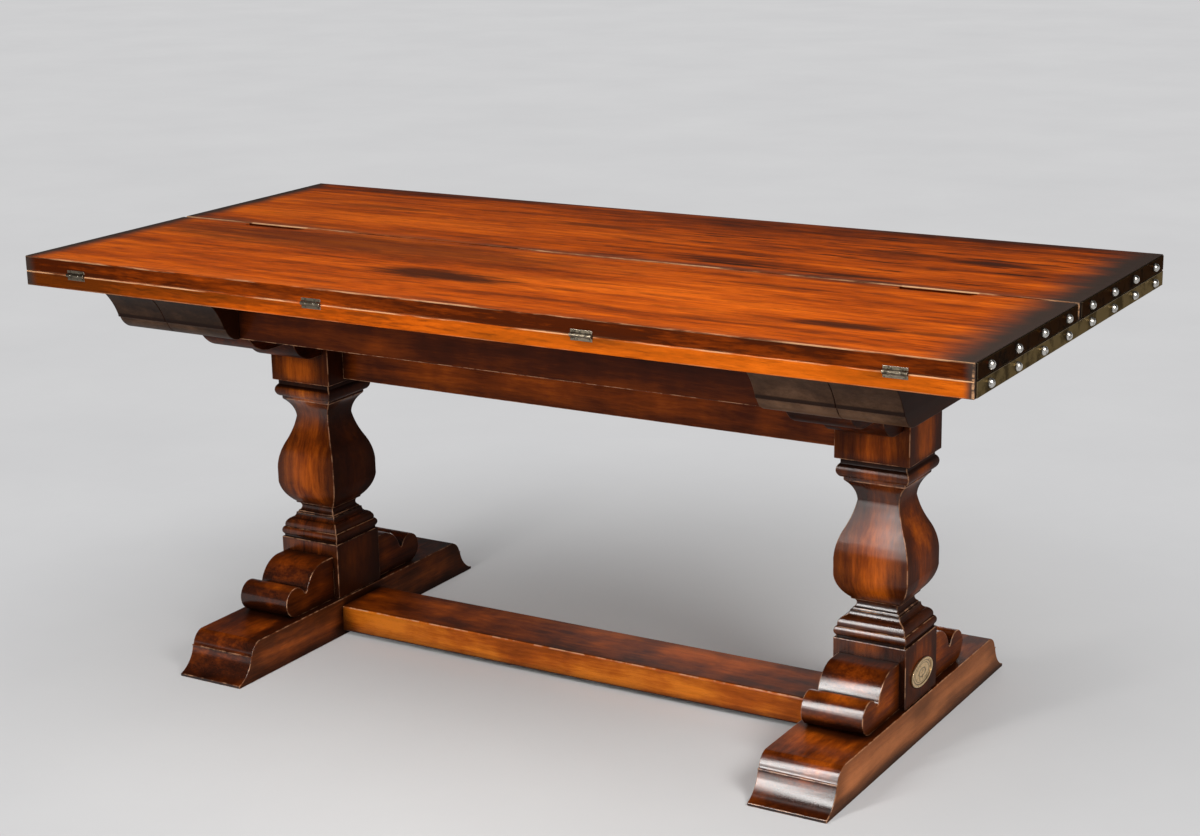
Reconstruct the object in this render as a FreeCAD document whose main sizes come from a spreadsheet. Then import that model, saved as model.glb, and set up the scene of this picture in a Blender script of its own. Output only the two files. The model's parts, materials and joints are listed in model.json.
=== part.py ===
import FreeCAD, Part
import math
import operator
import os

import Sketcher

# Flip-top trestle dining table, in millimetres.
# Origin: on the floor under the middle of the top. +X along the table, +Y to the back, +Z up.

SIZES = {
    # The two-layer top: a fixed board below, two folding leaves above
    "table_height": 788,
    "top_length": 1830,
    "top_width": 874,
    "leaf_thickness": 27,
    "fixed_top_thickness": 27,
    "seam_gap": 6,
    "board_round": 2,
    # Finger notches in the front leaf, at the seam
    "notch_inset": 236,
    "notch_length": 138,
    "notch_depth": 20,
    "notch_round": 14,
    # Metal straps and domed studs on the ends of both layers
    "strap_thickness": 3,
    "strap_margin": 1,
    "strap_end_margin": 6,
    "studs_across": 8,
    "stud_diameter": 15,
    "stud_height": 8,
    "stud_rim": 1.5,
    "stud_shank_diameter": 4,
    "stud_shank_length": 25,
    "hole_clearance": 0.05,
    # Butt hinges let into the long edges
    "hinges_per_side": 4,
    "hinge_inset": 123,
    "hinge_width": 40,
    "hinge_plate_height": 9,
    "hinge_plate_thickness": 2.5,
    "hinge_plate_proud": 0.1,
    "hinge_axis_offset": 1.5,
    "hinge_barrel_diameter": 7,
    "hinge_centre_knuckle": 18,
    "hinge_knuckle_gap": 0.4,
    "hinge_pin_diameter": 3.5,
    "hinge_pin_play": 0.05,
    "hinge_pin_grip": 0.02,
    "mortise_clearance": 0.4,
    "screw_pitch": 28,
    "screw_height": 6.4,
    "screw_head_diameter": 4.2,
    "screw_head_height": 0.8,
    "screw_shank_diameter": 2.4,
    "screw_shank_length": 15,
    # Trestles
    "trestle_inset": 322,
    "foot_width": 141,
    "foot_height": 75,
    "foot_length": 762,
    "foot_lip_height": 6,
    "foot_lip_depth": 2,
    "foot_cove_height": 41.5,
    "foot_cove_depth": 36,
    "foot_bead_height": 3.5,
    "foot_bead_proud": 1.5,
    "foot_fillet": 4,
    "foot_ovolo_depth": 23.5,
    # Square turned posts, from the foot up
    "plinth_width": 134,
    "plinth_height": 109,
    "groove_height": 4,
    "groove_depth": 3.5,
    "torus_height": 16,
    "cyma_foot_width": 124,
    "cyma_height": 27,
    "neck_ring_width": 86,
    "neck_ring_height": 3,
    "neck_ring_step": 3,
    "lower_neck_width": 75,
    "lower_neck_height": 16,
    "belly_width": 136,
    "belly_rise": 60,
    "belly_foot_width": 90,
    "belly_shoulder_width": 108,
    "belly_shoulder_rise": 64,
    "upper_neck_width": 76,
    "upper_neck_rise": 48,
    "crown_cove_width": 112,
    "crown_cove_height": 36.5,
    "crown_fillet_height": 6.5,
    "crown_torus_width": 132,
    "crown_torus_height": 24,
    "crown_groove_height": 9,
    "crown_groove_depth": 6,
    "block_width": 136,
    "post_tenon_width": 60,
    "post_tenon_length": 45,
    "joint_clearance": 0.2,
    # Scroll brackets between post and foot, and between post and bearer
    "bracket_width": 112,
    "bracket_flat": 27,
    "lower_bracket_height": 84,
    "lower_scroll_reach": 57,
    "lower_valley_height": 42,
    "lower_valley_width": 8.6,
    "lower_volute_height": 58,
    "lower_bracket_reach": 148,
    "upper_bracket_height": 85,
    "upper_scroll_reach": 60,
    "upper_valley_height": 34,
    "upper_valley_width": 16,
    "upper_nose_height": 41,
    "upper_nose_length": 61,
    "upper_bracket_reach": 215,
    # Bearers under the top, with moulded ends
    "bearer_height": 87,
    "bearer_length": 804,
    "bearer_ovolo_height": 25,
    "bearer_ovolo_depth": 36,
    "bearer_fillet": 4,
    "bearer_cove_depth": 45,
    # Pull-out lopers beside the bearers, hung on dovetail rails
    "loper_width": 112,
    "loper_side_gap": 0.6,
    "loper_top_gap": 0.3,
    "loper_middle_gap": 2,
    "loper_travel": 260,
    "rail_height": 16,
    "rail_top_width": 30,
    "rail_bottom_width": 44,
    "rail_length": 730,
    "rail_play": 0.4,
    "stop_pin_diameter": 10,
    "stop_pin_depth": 14,
    "stop_pin_drop": 14,
    "stop_pin_offset": 38,
    "stop_pin_setback": 60,
    "stop_slot_play": 0.5,
    # Long members
    "apron_thickness": 25,
    "apron_setback": 122,
    "apron_housing": 12,
    "spine_width": 45,
    "spine_height": 134,
    "spine_drop": 6,
    "spine_tenon_width": 30,
    "spine_tenon_height": 100,
    "spine_tenon_length": 25,
    "stretcher_width": 130,
    "stretcher_height": 51.5,
    "stretcher_lift": 9,
    "stretcher_round": 5,
    "stretcher_tenon_width": 90,
    "stretcher_tenon_height": 32,
    "stretcher_tenon_length": 25,
    # Screws that hold the fixed top down on the bearers
    "top_screw_spread": 570,
    "top_screw_spacing": 60,
    "top_screw_diameter": 6,
    "top_screw_head_diameter": 12,
    "top_screw_head_height": 5,
    "top_screw_counterbore": 40,
    "top_screw_bite": 18,
    # Plain oval plaque on the outer face of the right plinth
    "plaque_width": 88,
    "plaque_height": 48,
    "plaque_thickness": 2,
    "plaque_rim": 4,
    "plaque_relief": 1.2,
    "plaque_centre_height": 122,
}

doc = FreeCAD.newDocument("flip_top_table")
sheet = doc.addObject("Spreadsheet::Sheet", "sizes")
for row, (alias, number) in enumerate(SIZES.items(), start=1):
    sheet.set("A%d" % row, alias)
    sheet.set("B%d" % row, str(number))
    sheet.setAlias("B%d" % row, alias)
doc.recompute()

SIGNS = {"+": operator.add, "-": operator.sub, "*": operator.mul, "/": operator.truediv}


class Size:
    """A length that keeps both its number and the sheet formula that gives it."""

    def __init__(self, value, formula):
        self.value = value
        self.formula = formula

    def __add__(self, other):
        return combine(self, "+", other)

    def __radd__(self, other):
        return combine(other, "+", self)

    def __sub__(self, other):
        return combine(self, "-", other)

    def __rsub__(self, other):
        return combine(other, "-", self)

    def __mul__(self, other):
        return combine(self, "*", other)

    def __rmul__(self, other):
        return combine(other, "*", self)

    def __truediv__(self, other):
        return combine(self, "/", other)


def as_size(thing):
    if isinstance(thing, Size):
        return thing
    return Size(float(thing), repr(float(thing)))


def combine(left, sign, right):
    left = as_size(left)
    right = as_size(right)
    value = SIGNS[sign](left.value, right.value)
    return Size(value, "(%s %s %s)" % (left.formula, sign, right.formula))


def size(alias):
    return Size(float(SIZES[alias]), "sizes." + alias)


def count(alias):
    return int(SIZES[alias])


def bind(thing, name, length):
    thing.setExpression(name, as_size(length).formula)


# Blocks, rods and booleans

TURN = {
    "+x": FreeCAD.Rotation(FreeCAD.Vector(0, 1, 0), 90),
    "-x": FreeCAD.Rotation(FreeCAD.Vector(0, 1, 0), -90),
    "+y": FreeCAD.Rotation(FreeCAD.Vector(1, 0, 0), -90),
    "-y": FreeCAD.Rotation(FreeCAD.Vector(1, 0, 0), 90),
    "+z": FreeCAD.Rotation(),
}


def place(thing, x=0, y=0, z=0):
    for axis, distance in (("x", x), ("y", y), ("z", z)):
        bind(thing, "Placement.Base." + axis, distance)
    return thing


def box(name, x, y, z):
    """A block that runs between two places on each axis."""
    block = doc.addObject("Part::Box", name)
    for length, (low, high) in (("Length", x), ("Width", y), ("Height", z)):
        bind(block, length, high - low)
    return place(block, x[0], y[0], z[0])


def rod(name, start, direction, diameter, length):
    """A round bar from a start point along one of the axes."""
    bar = doc.addObject("Part::Cylinder", name)
    bind(bar, "Radius", diameter / 2)
    bind(bar, "Height", length)
    bar.Placement = FreeCAD.Placement(FreeCAD.Vector(), TURN[direction])
    return place(bar, *start)


def group(name, members):
    bundle = doc.addObject("Part::Compound", name)
    bundle.Links = members
    return bundle


def join(name, members):
    whole = doc.addObject("Part::MultiFuse", name)
    whole.Shapes = members
    return whole


def cut(name, base, tools):
    rest = doc.addObject("Part::Cut", name)
    rest.Base = base
    rest.Tool = tools[0] if len(tools) == 1 else group(name + "_tools", tools)
    return rest


# Sketched outlines

QUARTER_ROUND = math.sqrt(2) - 1


def to(u, v):
    """A straight stretch of an outline, to a corner."""
    return None, (u, v)


def curve(through, end):
    """A round stretch of an outline, through a point, to a corner."""
    return through, end


def vector(point):
    return FreeCAD.Vector(as_size(point[0]).value, as_size(point[1]).value, 0)


def centre_of(first, through, last):
    """The middle of the circle through three points of a sketch."""
    twice = 2 * ((through - first).cross(last - first)).z
    to_through = (through - first).dot(through - first)
    to_last = (last - first).dot(last - first)
    x = (to_through * (last.y - first.y) - to_last * (through.y - first.y)) / twice
    y = (to_last * (through.x - first.x) - to_through * (last.x - first.x)) / twice
    return first + FreeCAD.Vector(x, y, 0)


def arc_edge(first, through, last):
    """The arc through three points, and whether it runs from the last point to the first."""
    centre = centre_of(first, through, last)
    angles = [math.atan2(p.y - centre.y, p.x - centre.x) for p in (first, through, last)]
    swing = (angles[1] - angles[0]) % (2 * math.pi)
    sweep = (angles[2] - angles[0]) % (2 * math.pi)
    backwards = swing > sweep
    start, end = (angles[2], angles[0]) if backwards else (angles[0], angles[2])
    circle = Part.Circle(centre, FreeCAD.Vector(0, 0, 1), (first - centre).Length)
    return Part.ArcOfCircle(circle, start, end), backwards


def hold(sketch, edge, end, point):
    """Hold a point of the sketch at its two distances from the sketch's origin."""
    for kind, axis, distance in (("DistanceX", -2, point[0]), ("DistanceY", -1, point[1])):
        if not isinstance(distance, Size) and distance == 0:
            sketch.addConstraint(Sketcher.Constraint("PointOnObject", edge, end, axis))
        else:
            length = as_size(distance)
            number = sketch.addConstraint(Sketcher.Constraint(kind, edge, end, length.value))
            sketch.setExpression("Constraints[%d]" % number, length.formula)


def draw(sketch, start, steps):
    """Draw a closed outline: from a start corner, step by step, and straight back to the start."""
    if steps[-1][1] is not start:
        steps = steps + [(None, start)]
    corners = [start] + [end for through, end in steps[:-1]]
    edges = []
    for (through, end), first in zip(steps, corners):
        if through is None:
            edge, backwards = Part.LineSegment(vector(first), vector(end)), False
        else:
            edge, backwards = arc_edge(vector(first), vector(through), vector(end))
        edges.append((sketch.addGeometry(edge, False), 2 if backwards else 1, through))
    for (edge, head, through), (after, after_head, ahead) in zip(edges, edges[1:] + edges[:1]):
        sketch.addConstraint(Sketcher.Constraint("Coincident", edge, 3 - head, after, after_head))
    for (edge, head, through), corner in zip(edges, corners):
        hold(sketch, edge, head, corner)
        if through is not None:
            mark = sketch.addGeometry(Part.Point(vector(through)), True)
            hold(sketch, mark, 1, through)
            sketch.addConstraint(Sketcher.Constraint("PointOnObject", mark, 1, edge))


def sketch_in(body, name, role):
    sketch = body.newObject("Sketcher::SketchObject", name)
    plane = [feature for feature in body.Origin.OriginFeatures if feature.Role == role][0]
    sketch.AttachmentSupport = [(plane, "")]
    sketch.MapMode = "FlatFace"
    return sketch


def bar(name, role, outline, width):
    """A body with one cross-section, padded evenly to both sides of an origin plane."""
    body = doc.addObject("PartDesign::Body", name)
    sketch = sketch_in(body, name + "_outline", role)
    draw(sketch, *outline)
    pad = body.newObject("PartDesign::Pad", name + "_pad")
    pad.Profile = sketch
    pad.SideType = "Symmetric"
    bind(pad, "Length", width)
    return body


def bend(start, end, toward, fullness=QUARTER_ROUND):
    """A round stretch from start to end that leans toward a third point."""
    middle = [(a + b) / 2 for a, b in zip(start, end)]
    through = tuple(m + (t - m) * fullness for m, t in zip(middle, toward))
    return curve(through, end)


def rounded_rectangle(u, v, radius):
    """The outline of a rectangle between two places on each axis, with rounded corners."""
    (left, right), (low, high) = u, v
    start = (left + radius, low)
    steps = []
    for corner, before, after in (
        ((right, low), (right - radius, low), (right, low + radius)),
        ((right, high), (right, high - radius), (right - radius, high)),
        ((left, high), (left + radius, high), (left, high - radius)),
        ((left, low), (left, low + radius), start),
    ):
        steps += [to(*before), bend(before, after, corner)]
    return start, steps


def across(point):
    return -1 * point[0], point[1]


def both_sides(start, steps):
    """A whole outline from its right side, which is the same on the left of the upright axis."""
    corners = [start] + [end for through, end in steps]
    left = [to(*across(corners[-1]))]
    for (through, end), corner in zip(reversed(steps), reversed(corners[:-1])):
        left.append((through and across(through), across(corner)))
    return start, steps + left


def one_side(sign, start, steps):
    """An outline on the side of the upright axis that the sign gives."""
    if sign > 0:
        return start, steps
    return across(start), [(through and across(through), across(end)) for through, end in steps]


def span(sign, near, far):
    """From one distance to a larger one, on the side that the sign gives."""
    return (near, far) if sign > 0 else (-1 * far, -1 * near)


pieces = {}


def piece(name, thing):
    """Name a finished piece of the table."""
    thing.Label = name
    pieces[name] = thing
    return thing


# Main levels and places

ENDS = {"left": -1, "right": 1}
SIDES = {"front": -1, "back": 1}

top_face = size("table_height")
seam = top_face - size("leaf_thickness")
top_under = seam - size("fixed_top_thickness")
bearer_under = top_under - size("bearer_height")
foot_top = size("foot_height")
half_length = size("top_length") / 2
half_width = size("top_width") / 2
half_gap = size("seam_gap") / 2
trestle = half_length - size("trestle_inset")
block = size("block_width") / 2
inner_face = trestle - block
snug = size("joint_clearance")
clear = size("hole_clearance")

# The boards of the top, their end straps and their rows of studs

front_edge = -1 * half_width
LAYERS = {
    "fixed_top": {"y": (front_edge, half_width), "z": (top_under, seam), "row": (front_edge, half_width)},
    "front_leaf": {"y": (front_edge, -1 * half_gap), "z": (seam, top_face), "row": (front_edge, 0)},
    "back_leaf": {"y": (half_gap, half_width), "z": (seam, top_face), "row": (0, half_width)},
}
stud_pitch = size("top_width") / size("studs_across")


def studs_in(layer):
    whole = count("studs_across")
    return whole if layer == "fixed_top" else whole // 2


def stud_row(name, layer, end):
    """A row of domed studs with nail shanks, patterned across the end of a layer."""
    body = doc.addObject("PartDesign::Body", name)
    body.AllowCompound = True
    sketch = sketch_in(body, name + "_outline", "XZ_Plane")
    tip = -1 * size("stud_shank_length")
    shank = size("stud_shank_diameter") / 2
    rim = size("stud_rim")
    edge = size("stud_diameter") / 2
    dome_start = (rim, edge)
    crown = (size("stud_height"), 0)
    corner = (size("stud_height"), edge)
    draw(sketch, (tip, 0), [
        to(tip, shank),
        to(0, shank),
        to(0, edge),
        to(*dome_start),
        bend(dome_start, crown, corner, 0.38),
    ])
    stud = body.newObject("PartDesign::Revolution", name + "_stud")
    stud.Profile = sketch
    stud.ReferenceAxis = (sketch, ["H_Axis"])
    stud.Angle = 360
    row = body.newObject("PartDesign::LinearPattern", name + "_row")
    row.Originals = [stud]
    row.Direction = ([axis for axis in body.Origin.OriginFeatures if axis.Role == "Y_Axis"][0], [""])
    bind(row, "Length", stud_pitch * (studs_in(layer) - 1))
    body.Tip = row
    row.Occurrences = studs_in(layer)
    low, high = LAYERS[layer]["row"]
    bottom, top = LAYERS[layer]["z"]
    first = low + stud_pitch / 2
    if end < 0:
        first = high - stud_pitch / 2
        body.Placement = FreeCAD.Placement(FreeCAD.Vector(), FreeCAD.Rotation(FreeCAD.Vector(0, 0, 1), 180))
    return place(body, end * half_length, first, (bottom + top) / 2)


def stud_holes(name, layer, end):
    """Drills for the stud shanks, through the strap into the board."""
    low, high = LAYERS[layer]["row"]
    bottom, top = LAYERS[layer]["z"]
    drills = []
    for number in range(studs_in(layer)):
        start = (end * half_length, low + stud_pitch * (number + 0.5), (bottom + top) / 2)
        inward = "-x" if end > 0 else "+x"
        width = size("stud_shank_diameter") + 2 * clear
        drills.append(rod("%s_%d" % (name, number), start, inward, width, size("stud_shank_length") + clear))
    return drills


def trim_ends(layer):
    """The straps and studs on both ends of a layer. Gives the drills that its board needs."""
    margin = size("strap_margin")
    end_margin = size("strap_end_margin")
    low, high = LAYERS[layer]["y"]
    bottom, top = LAYERS[layer]["z"]
    drills = []
    for end_name, end in ENDS.items():
        name = "%s_%s" % (layer, end_name)
        holes = stud_holes(name + "_stud_hole", layer, end)
        plate = box(
            name + "_plate",
            span(end, half_length - size("strap_thickness"), half_length),
            (low + end_margin, high - end_margin),
            (bottom + margin, top - margin),
        )
        piece(name + "_strap", cut(name + "_strap", plate, holes))
        piece(name + "_studs", stud_row(name + "_studs", layer, end))
        drills += holes
    return drills


def board(layer):
    """A board of the top: its cross-section with eased arrises, run along the table."""
    outline = rounded_rectangle(LAYERS[layer]["y"], LAYERS[layer]["z"], size("board_round"))
    return bar(layer + "_board", "YZ_Plane", outline, size("top_length") - 2 * size("strap_thickness"))


# Butt hinges

axis_out = half_width + size("hinge_axis_offset")
plate_face = half_width + size("hinge_plate_proud")
plate_back = plate_face - size("hinge_plate_thickness")
barrel = size("hinge_barrel_diameter") / 2
cut_back = barrel + size("hinge_knuckle_gap")
hinge_half = size("hinge_width") / 2
centre_half = size("hinge_centre_knuckle") / 2
outer_start = centre_half + size("hinge_knuckle_gap")


def hinge_places():
    """The middles of the hinges along one edge, spread evenly between the two outer ones."""
    number = count("hinges_per_side")
    pitch = 2 * (half_length - size("hinge_inset")) / (number - 1)
    return [pitch * (step - (number - 1) / 2) for step in range(number)]


def rise(up, near, far):
    """From one height to another above the seam, or the same below it."""
    return (seam + near, seam + far) if up > 0 else (seam - far, seam - near)


def outward(side):
    return "+y" if side > 0 else "-y"


def inward(side):
    return "-y" if side > 0 else "+y"


def hinge_screws(name, x, side, up):
    """Two pan-head screws through one hinge plate, and the drills for them."""
    screws = []
    drills = []
    for number in (-1, 1):
        label = "%s_%d" % (name, number + 1)
        start = (x + size("screw_pitch") / 2 * number, side * plate_face, seam + size("screw_height") * up)
        head_width = size("screw_head_diameter")
        head = rod(label + "_head", start, outward(side), head_width, size("screw_head_height"))
        shank_width = size("screw_shank_diameter")
        shank = rod(label + "_shank", start, inward(side), shank_width, size("screw_shank_length"))
        screws.append(join(label, [head, shank]))
        drill_depth = size("screw_shank_length") + clear
        drills.append(rod(label + "_drill", start, inward(side), shank_width + 2 * clear, drill_depth))
    return screws, drills


def hinge_plate(name, x, side, up, knuckles, play, drills):
    """One plate with its knuckles: cut back where the other plate's knuckles turn."""
    depth = span(side, plate_back, plate_face)
    flange = box(name + "_flange", (x - hinge_half, x + hinge_half), depth,
                 rise(up, cut_back, size("hinge_plate_height")))
    parts = [flange]
    for number, (start, end) in enumerate(knuckles):
        label = "%s_knuckle_%d" % (name, number)
        whole_height = rise(up, 0, size("hinge_plate_height"))
        parts.append(box(label + "_web", (x + start, x + end), depth, whole_height))
        first = (x + start, side * axis_out, seam)
        parts.append(rod(label, first, "+x", size("hinge_barrel_diameter"), end - start))
    bore_start = (x - hinge_half - 1, side * axis_out, seam)
    bore_width = size("hinge_pin_diameter") + 2 * play
    bore = rod(name + "_bore", bore_start, "+x", bore_width, size("hinge_width") + 2)
    return cut(name, join(name + "_blank", parts), [bore] + drills)


def mortise(name, x, side, up):
    """The recess in a board's edge that takes a hinge plate."""
    spare = size("mortise_clearance") / 2
    outside = half_width + size("hinge_barrel_diameter")
    return box(
        name,
        (x - hinge_half - spare, x + hinge_half + spare),
        span(side, plate_back, outside),
        rise(up, -1 * spare, size("hinge_plate_height") + spare),
    )


def hinges(side_name):
    """The row of hinges on one long edge. Gives the tools for the fixed top and for the leaf."""
    side = SIDES[side_name]
    outer = [(-1 * hinge_half, -1 * outer_start), (outer_start, hinge_half)]
    centre = [(-1 * centre_half, centre_half)]
    kinds = {
        "lower": {"up": -1, "knuckles": outer, "play": size("hinge_pin_grip")},
        "upper": {"up": 1, "knuckles": centre, "play": size("hinge_pin_play")},
    }
    tools = {}
    for kind, make in kinds.items():
        plates = []
        screws = []
        tools[kind] = []
        for number, x in enumerate(hinge_places()):
            name = "%s_hinge_%s_%d" % (side_name, kind, number)
            pair, drills = hinge_screws(name + "_screw", x, side, make["up"])
            knuckles, play = make["knuckles"], make["play"]
            plates.append(hinge_plate(name + "_plate", x, side, make["up"], knuckles, play, drills))
            screws += pair
            tools[kind] += drills + [mortise(name + "_mortise", x, side, make["up"])]
        set_name = "%s_hinge_%s" % (side_name, kind)
        piece(set_name + "_plates", group(set_name + "_plates", plates))
        piece(set_name + "_screws", group(set_name + "_screws", screws))
    pins = []
    for number, x in enumerate(hinge_places()):
        start = (x - hinge_half, side * axis_out, seam)
        name = "%s_hinge_pin_%d" % (side_name, number)
        pins.append(rod(name, start, "+x", size("hinge_pin_diameter"), size("hinge_width")))
    piece(side_name + "_hinge_pins", group(side_name + "_hinge_pins", pins))
    return tools["lower"], tools["upper"]


def finger_notch(name, x):
    """A slot with rounded corners through the front leaf at the seam, for lifting the leaves."""
    left = x - size("notch_length") / 2
    right = x + size("notch_length") / 2
    deepest = -1 * half_gap - size("notch_depth")
    turn = size("notch_round")
    left_turn = (left, deepest + turn)
    left_floor = (left + turn, deepest)
    right_floor = (right - turn, deepest)
    right_turn = (right, deepest + turn)
    outline = ((left, half_gap), [
        to(*left_turn),
        bend(left_turn, left_floor, (left, deepest)),
        to(*right_floor),
        bend(right_floor, right_turn, (right, deepest)),
        to(right, half_gap),
    ])
    slot = bar(name, "XY_Plane", outline, size("leaf_thickness") * 2)
    return place(slot, 0, 0, seam + size("leaf_thickness") / 2)


# Feet, posts, bearers and lopers

def foot_outline():
    end = size("foot_length") / 2
    lip = size("foot_lip_height")
    cove_start = (end - size("foot_lip_depth"), lip)
    cove_end = (cove_start[0] - size("foot_cove_depth"), lip + size("foot_cove_height"))
    bead = cove_end[0] + size("foot_bead_proud")
    bead_top = cove_end[1] + size("foot_bead_height")
    ovolo_start = (bead - size("foot_fillet"), bead_top)
    ovolo_end = (ovolo_start[0] - size("foot_ovolo_depth"), foot_top)
    return both_sides((end, 0), [
        to(end, lip),
        to(*cove_start),
        bend(cove_start, cove_end, (cove_end[0], cove_start[1]), 0.26),
        to(bead, cove_end[1]),
        to(bead, bead_top),
        to(*ovolo_start),
        bend(ovolo_start, ovolo_end, (ovolo_start[0], ovolo_end[1]), 0.3),
    ])


def post_outline():
    """The side view of a square post between foot and bearer."""
    plinth = size("plinth_width") / 2
    groove = plinth - size("groove_depth")
    plinth_top = foot_top + size("plinth_height")
    torus_low = plinth_top + size("groove_height")
    torus_high = torus_low + size("torus_height")
    cyma_foot = size("cyma_foot_width") / 2
    cyma_top = torus_high + size("cyma_height")
    ring = size("neck_ring_width") / 2
    ring_step = size("neck_ring_step")
    cyma_head = ring + ring_step
    cyma_turn = ((cyma_foot + cyma_head) / 2, torus_high + size("cyma_height") * 0.6)
    ring_top = cyma_top + size("neck_ring_height")
    neck = size("lower_neck_width") / 2
    neck_top = ring_top + size("lower_neck_height")
    lip = size("belly_foot_width") / 2
    lip_top = neck_top + size("neck_ring_height")
    belly = (size("belly_width") / 2, lip_top + size("belly_rise"))
    shoulder = (size("belly_shoulder_width") / 2, belly[1] + size("belly_shoulder_rise"))
    upper_neck = (size("upper_neck_width") / 2, shoulder[1] + size("upper_neck_rise"))
    cove = (size("crown_cove_width") / 2, upper_neck[1] + size("crown_cove_height"))
    crown_low = cove[1] + size("crown_fillet_height")
    crown_high = crown_low + size("crown_torus_height")
    crown = size("crown_torus_width") / 2
    crown_groove = crown - size("crown_groove_depth")
    block_low = crown_high + size("crown_groove_height")
    return both_sides((plinth, foot_top), [
        to(plinth, plinth_top),
        to(groove, plinth_top),
        to(groove, torus_low),
        curve((plinth, (torus_low + torus_high) / 2), (groove, torus_high)),
        to(cyma_foot, torus_high),
        bend((cyma_foot, torus_high), cyma_turn, (cyma_foot, cyma_turn[1])),
        bend(cyma_turn, (cyma_head, cyma_top), (cyma_head, cyma_turn[1])),
        to(ring, cyma_top),
        to(ring, ring_top),
        curve((neck, (ring_top + neck_top) / 2), (lip - ring_step, neck_top)),
        to(lip, neck_top),
        to(lip, lip_top),
        bend((lip, lip_top), belly, (belly[0], lip_top), 0.35),
        bend(belly, shoulder, (belly[0], shoulder[1]), 0.3),
        bend(shoulder, upper_neck, (upper_neck[0], shoulder[1]), 0.12),
        bend(upper_neck, cove, (upper_neck[0], cove[1]), 0.25),
        to(cove[0], crown_low),
        to(crown_groove, crown_low),
        curve((crown, (crown_low + crown_high) / 2), (crown_groove, crown_high)),
        to(crown_groove, block_low),
        to(block, block_low),
        to(block, bearer_under),
    ])


def moulded_end(top):
    """The moulded end of a bearer or a loper, from its underside to the given height."""
    end = size("bearer_length") / 2
    cove_end = (end, top)
    cove_low = bearer_under + size("bearer_ovolo_height") + size("bearer_fillet")
    cove_start = (end - size("bearer_cove_depth"), cove_low)
    fillet = (cove_start[0], cove_low - size("bearer_fillet"))
    ovolo_end = (fillet[0] - size("bearer_fillet"), fillet[1])
    ovolo_start = (ovolo_end[0] - size("bearer_ovolo_depth"), bearer_under)
    return ovolo_start, [
        bend(ovolo_start, ovolo_end, (ovolo_end[0], bearer_under), 0.31),
        to(*fillet),
        to(*cove_start),
        bend(cove_start, cove_end, (cove_start[0], cove_end[1]), 0.14),
    ]


def lower_bracket_outline():
    """A scroll that stands on the foot against the plinth."""
    face = size("plinth_width") / 2
    top = foot_top + size("lower_bracket_height")
    flat = (face + size("bracket_flat"), top)
    valley = (flat[0] + size("lower_scroll_reach"), foot_top + size("lower_valley_height"))
    volute = (valley[0] + size("lower_valley_width"), valley[1] - 1)
    nose = (face + size("lower_bracket_reach"), foot_top + size("lower_volute_height") / 2)
    toe = (nose[0] - size("lower_volute_height") / 2, foot_top)
    return (face, foot_top), [
        to(face, top),
        to(*flat),
        bend(flat, valley, (valley[0], top), 0.36),
        to((valley[0] + volute[0]) / 2, valley[1] - 3),
        to(*volute),
        curve(nose, toe),
    ]


def upper_bracket_outline():
    """A longer scroll that hangs under the bearer against the post's top block."""
    low = bearer_under - size("upper_bracket_height")
    nose_low = bearer_under - size("upper_nose_height")
    end = block + size("upper_bracket_reach")
    nose = (end, bearer_under)
    under = (end - size("upper_nose_length"), nose_low)
    flat = (block + size("bracket_flat"), low)
    valley = (flat[0] + size("upper_scroll_reach"), bearer_under - size("upper_valley_height"))
    scroll = (valley[0], valley[1] - 2)
    return (block, bearer_under), [
        to(*nose),
        bend(nose, under, (end, nose_low), 0.3),
        to(valley[0] + size("upper_valley_width"), nose_low),
        to(valley[0] + size("upper_valley_width") / 2, valley[1]),
        to(*scroll),
        bend(scroll, flat, (scroll[0], low), 0.38),
        to(block, low),
    ]


def tenon(name, x, y, z, extra):
    """A square-shouldered tenon, or with some extra all round the mortise for it."""
    return box(name, (x[0] - extra, x[1] + extra), (y[0] - extra, y[1] + extra), (z[0] - extra, z[1] + extra))


def post_tenon(name, centre, z, extra):
    half = size("post_tenon_width") / 2
    return tenon(name, (centre - half, centre + half), (-1 * half, half), z, extra)


def stretcher_tenon(name, end, extra):
    start = trestle - size("foot_width") / 2
    half = size("stretcher_tenon_width") / 2
    middle = size("stretcher_lift") + size("stretcher_height") / 2
    rise_half = size("stretcher_tenon_height") / 2
    along = span(end, start - extra, start + size("stretcher_tenon_length"))
    return tenon(name, along, (-1 * half, half), (middle - rise_half, middle + rise_half), extra)


def spine_tenon(name, end, extra):
    half = size("spine_tenon_width") / 2
    middle = bearer_under - size("spine_drop") - size("spine_height") / 2
    rise_half = size("spine_tenon_height") / 2
    along = span(end, inner_face - extra, inner_face + size("spine_tenon_length"))
    return tenon(name, along, (-1 * half, half), (middle - rise_half, middle + rise_half), extra)


apron_far = half_width - size("apron_setback")
apron_near = apron_far - size("apron_thickness")
lower_reach = (foot_top - size("post_tenon_length"), foot_top)
upper_reach = (bearer_under, bearer_under + size("post_tenon_length"))
loper_start = trestle + block + size("loper_side_gap")
loper_centre = loper_start + size("loper_width") / 2
rail_under = top_under - size("rail_height")
stop_x = loper_centre + size("stop_pin_offset")
stop_y = size("stop_pin_setback") + size("loper_travel")


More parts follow.
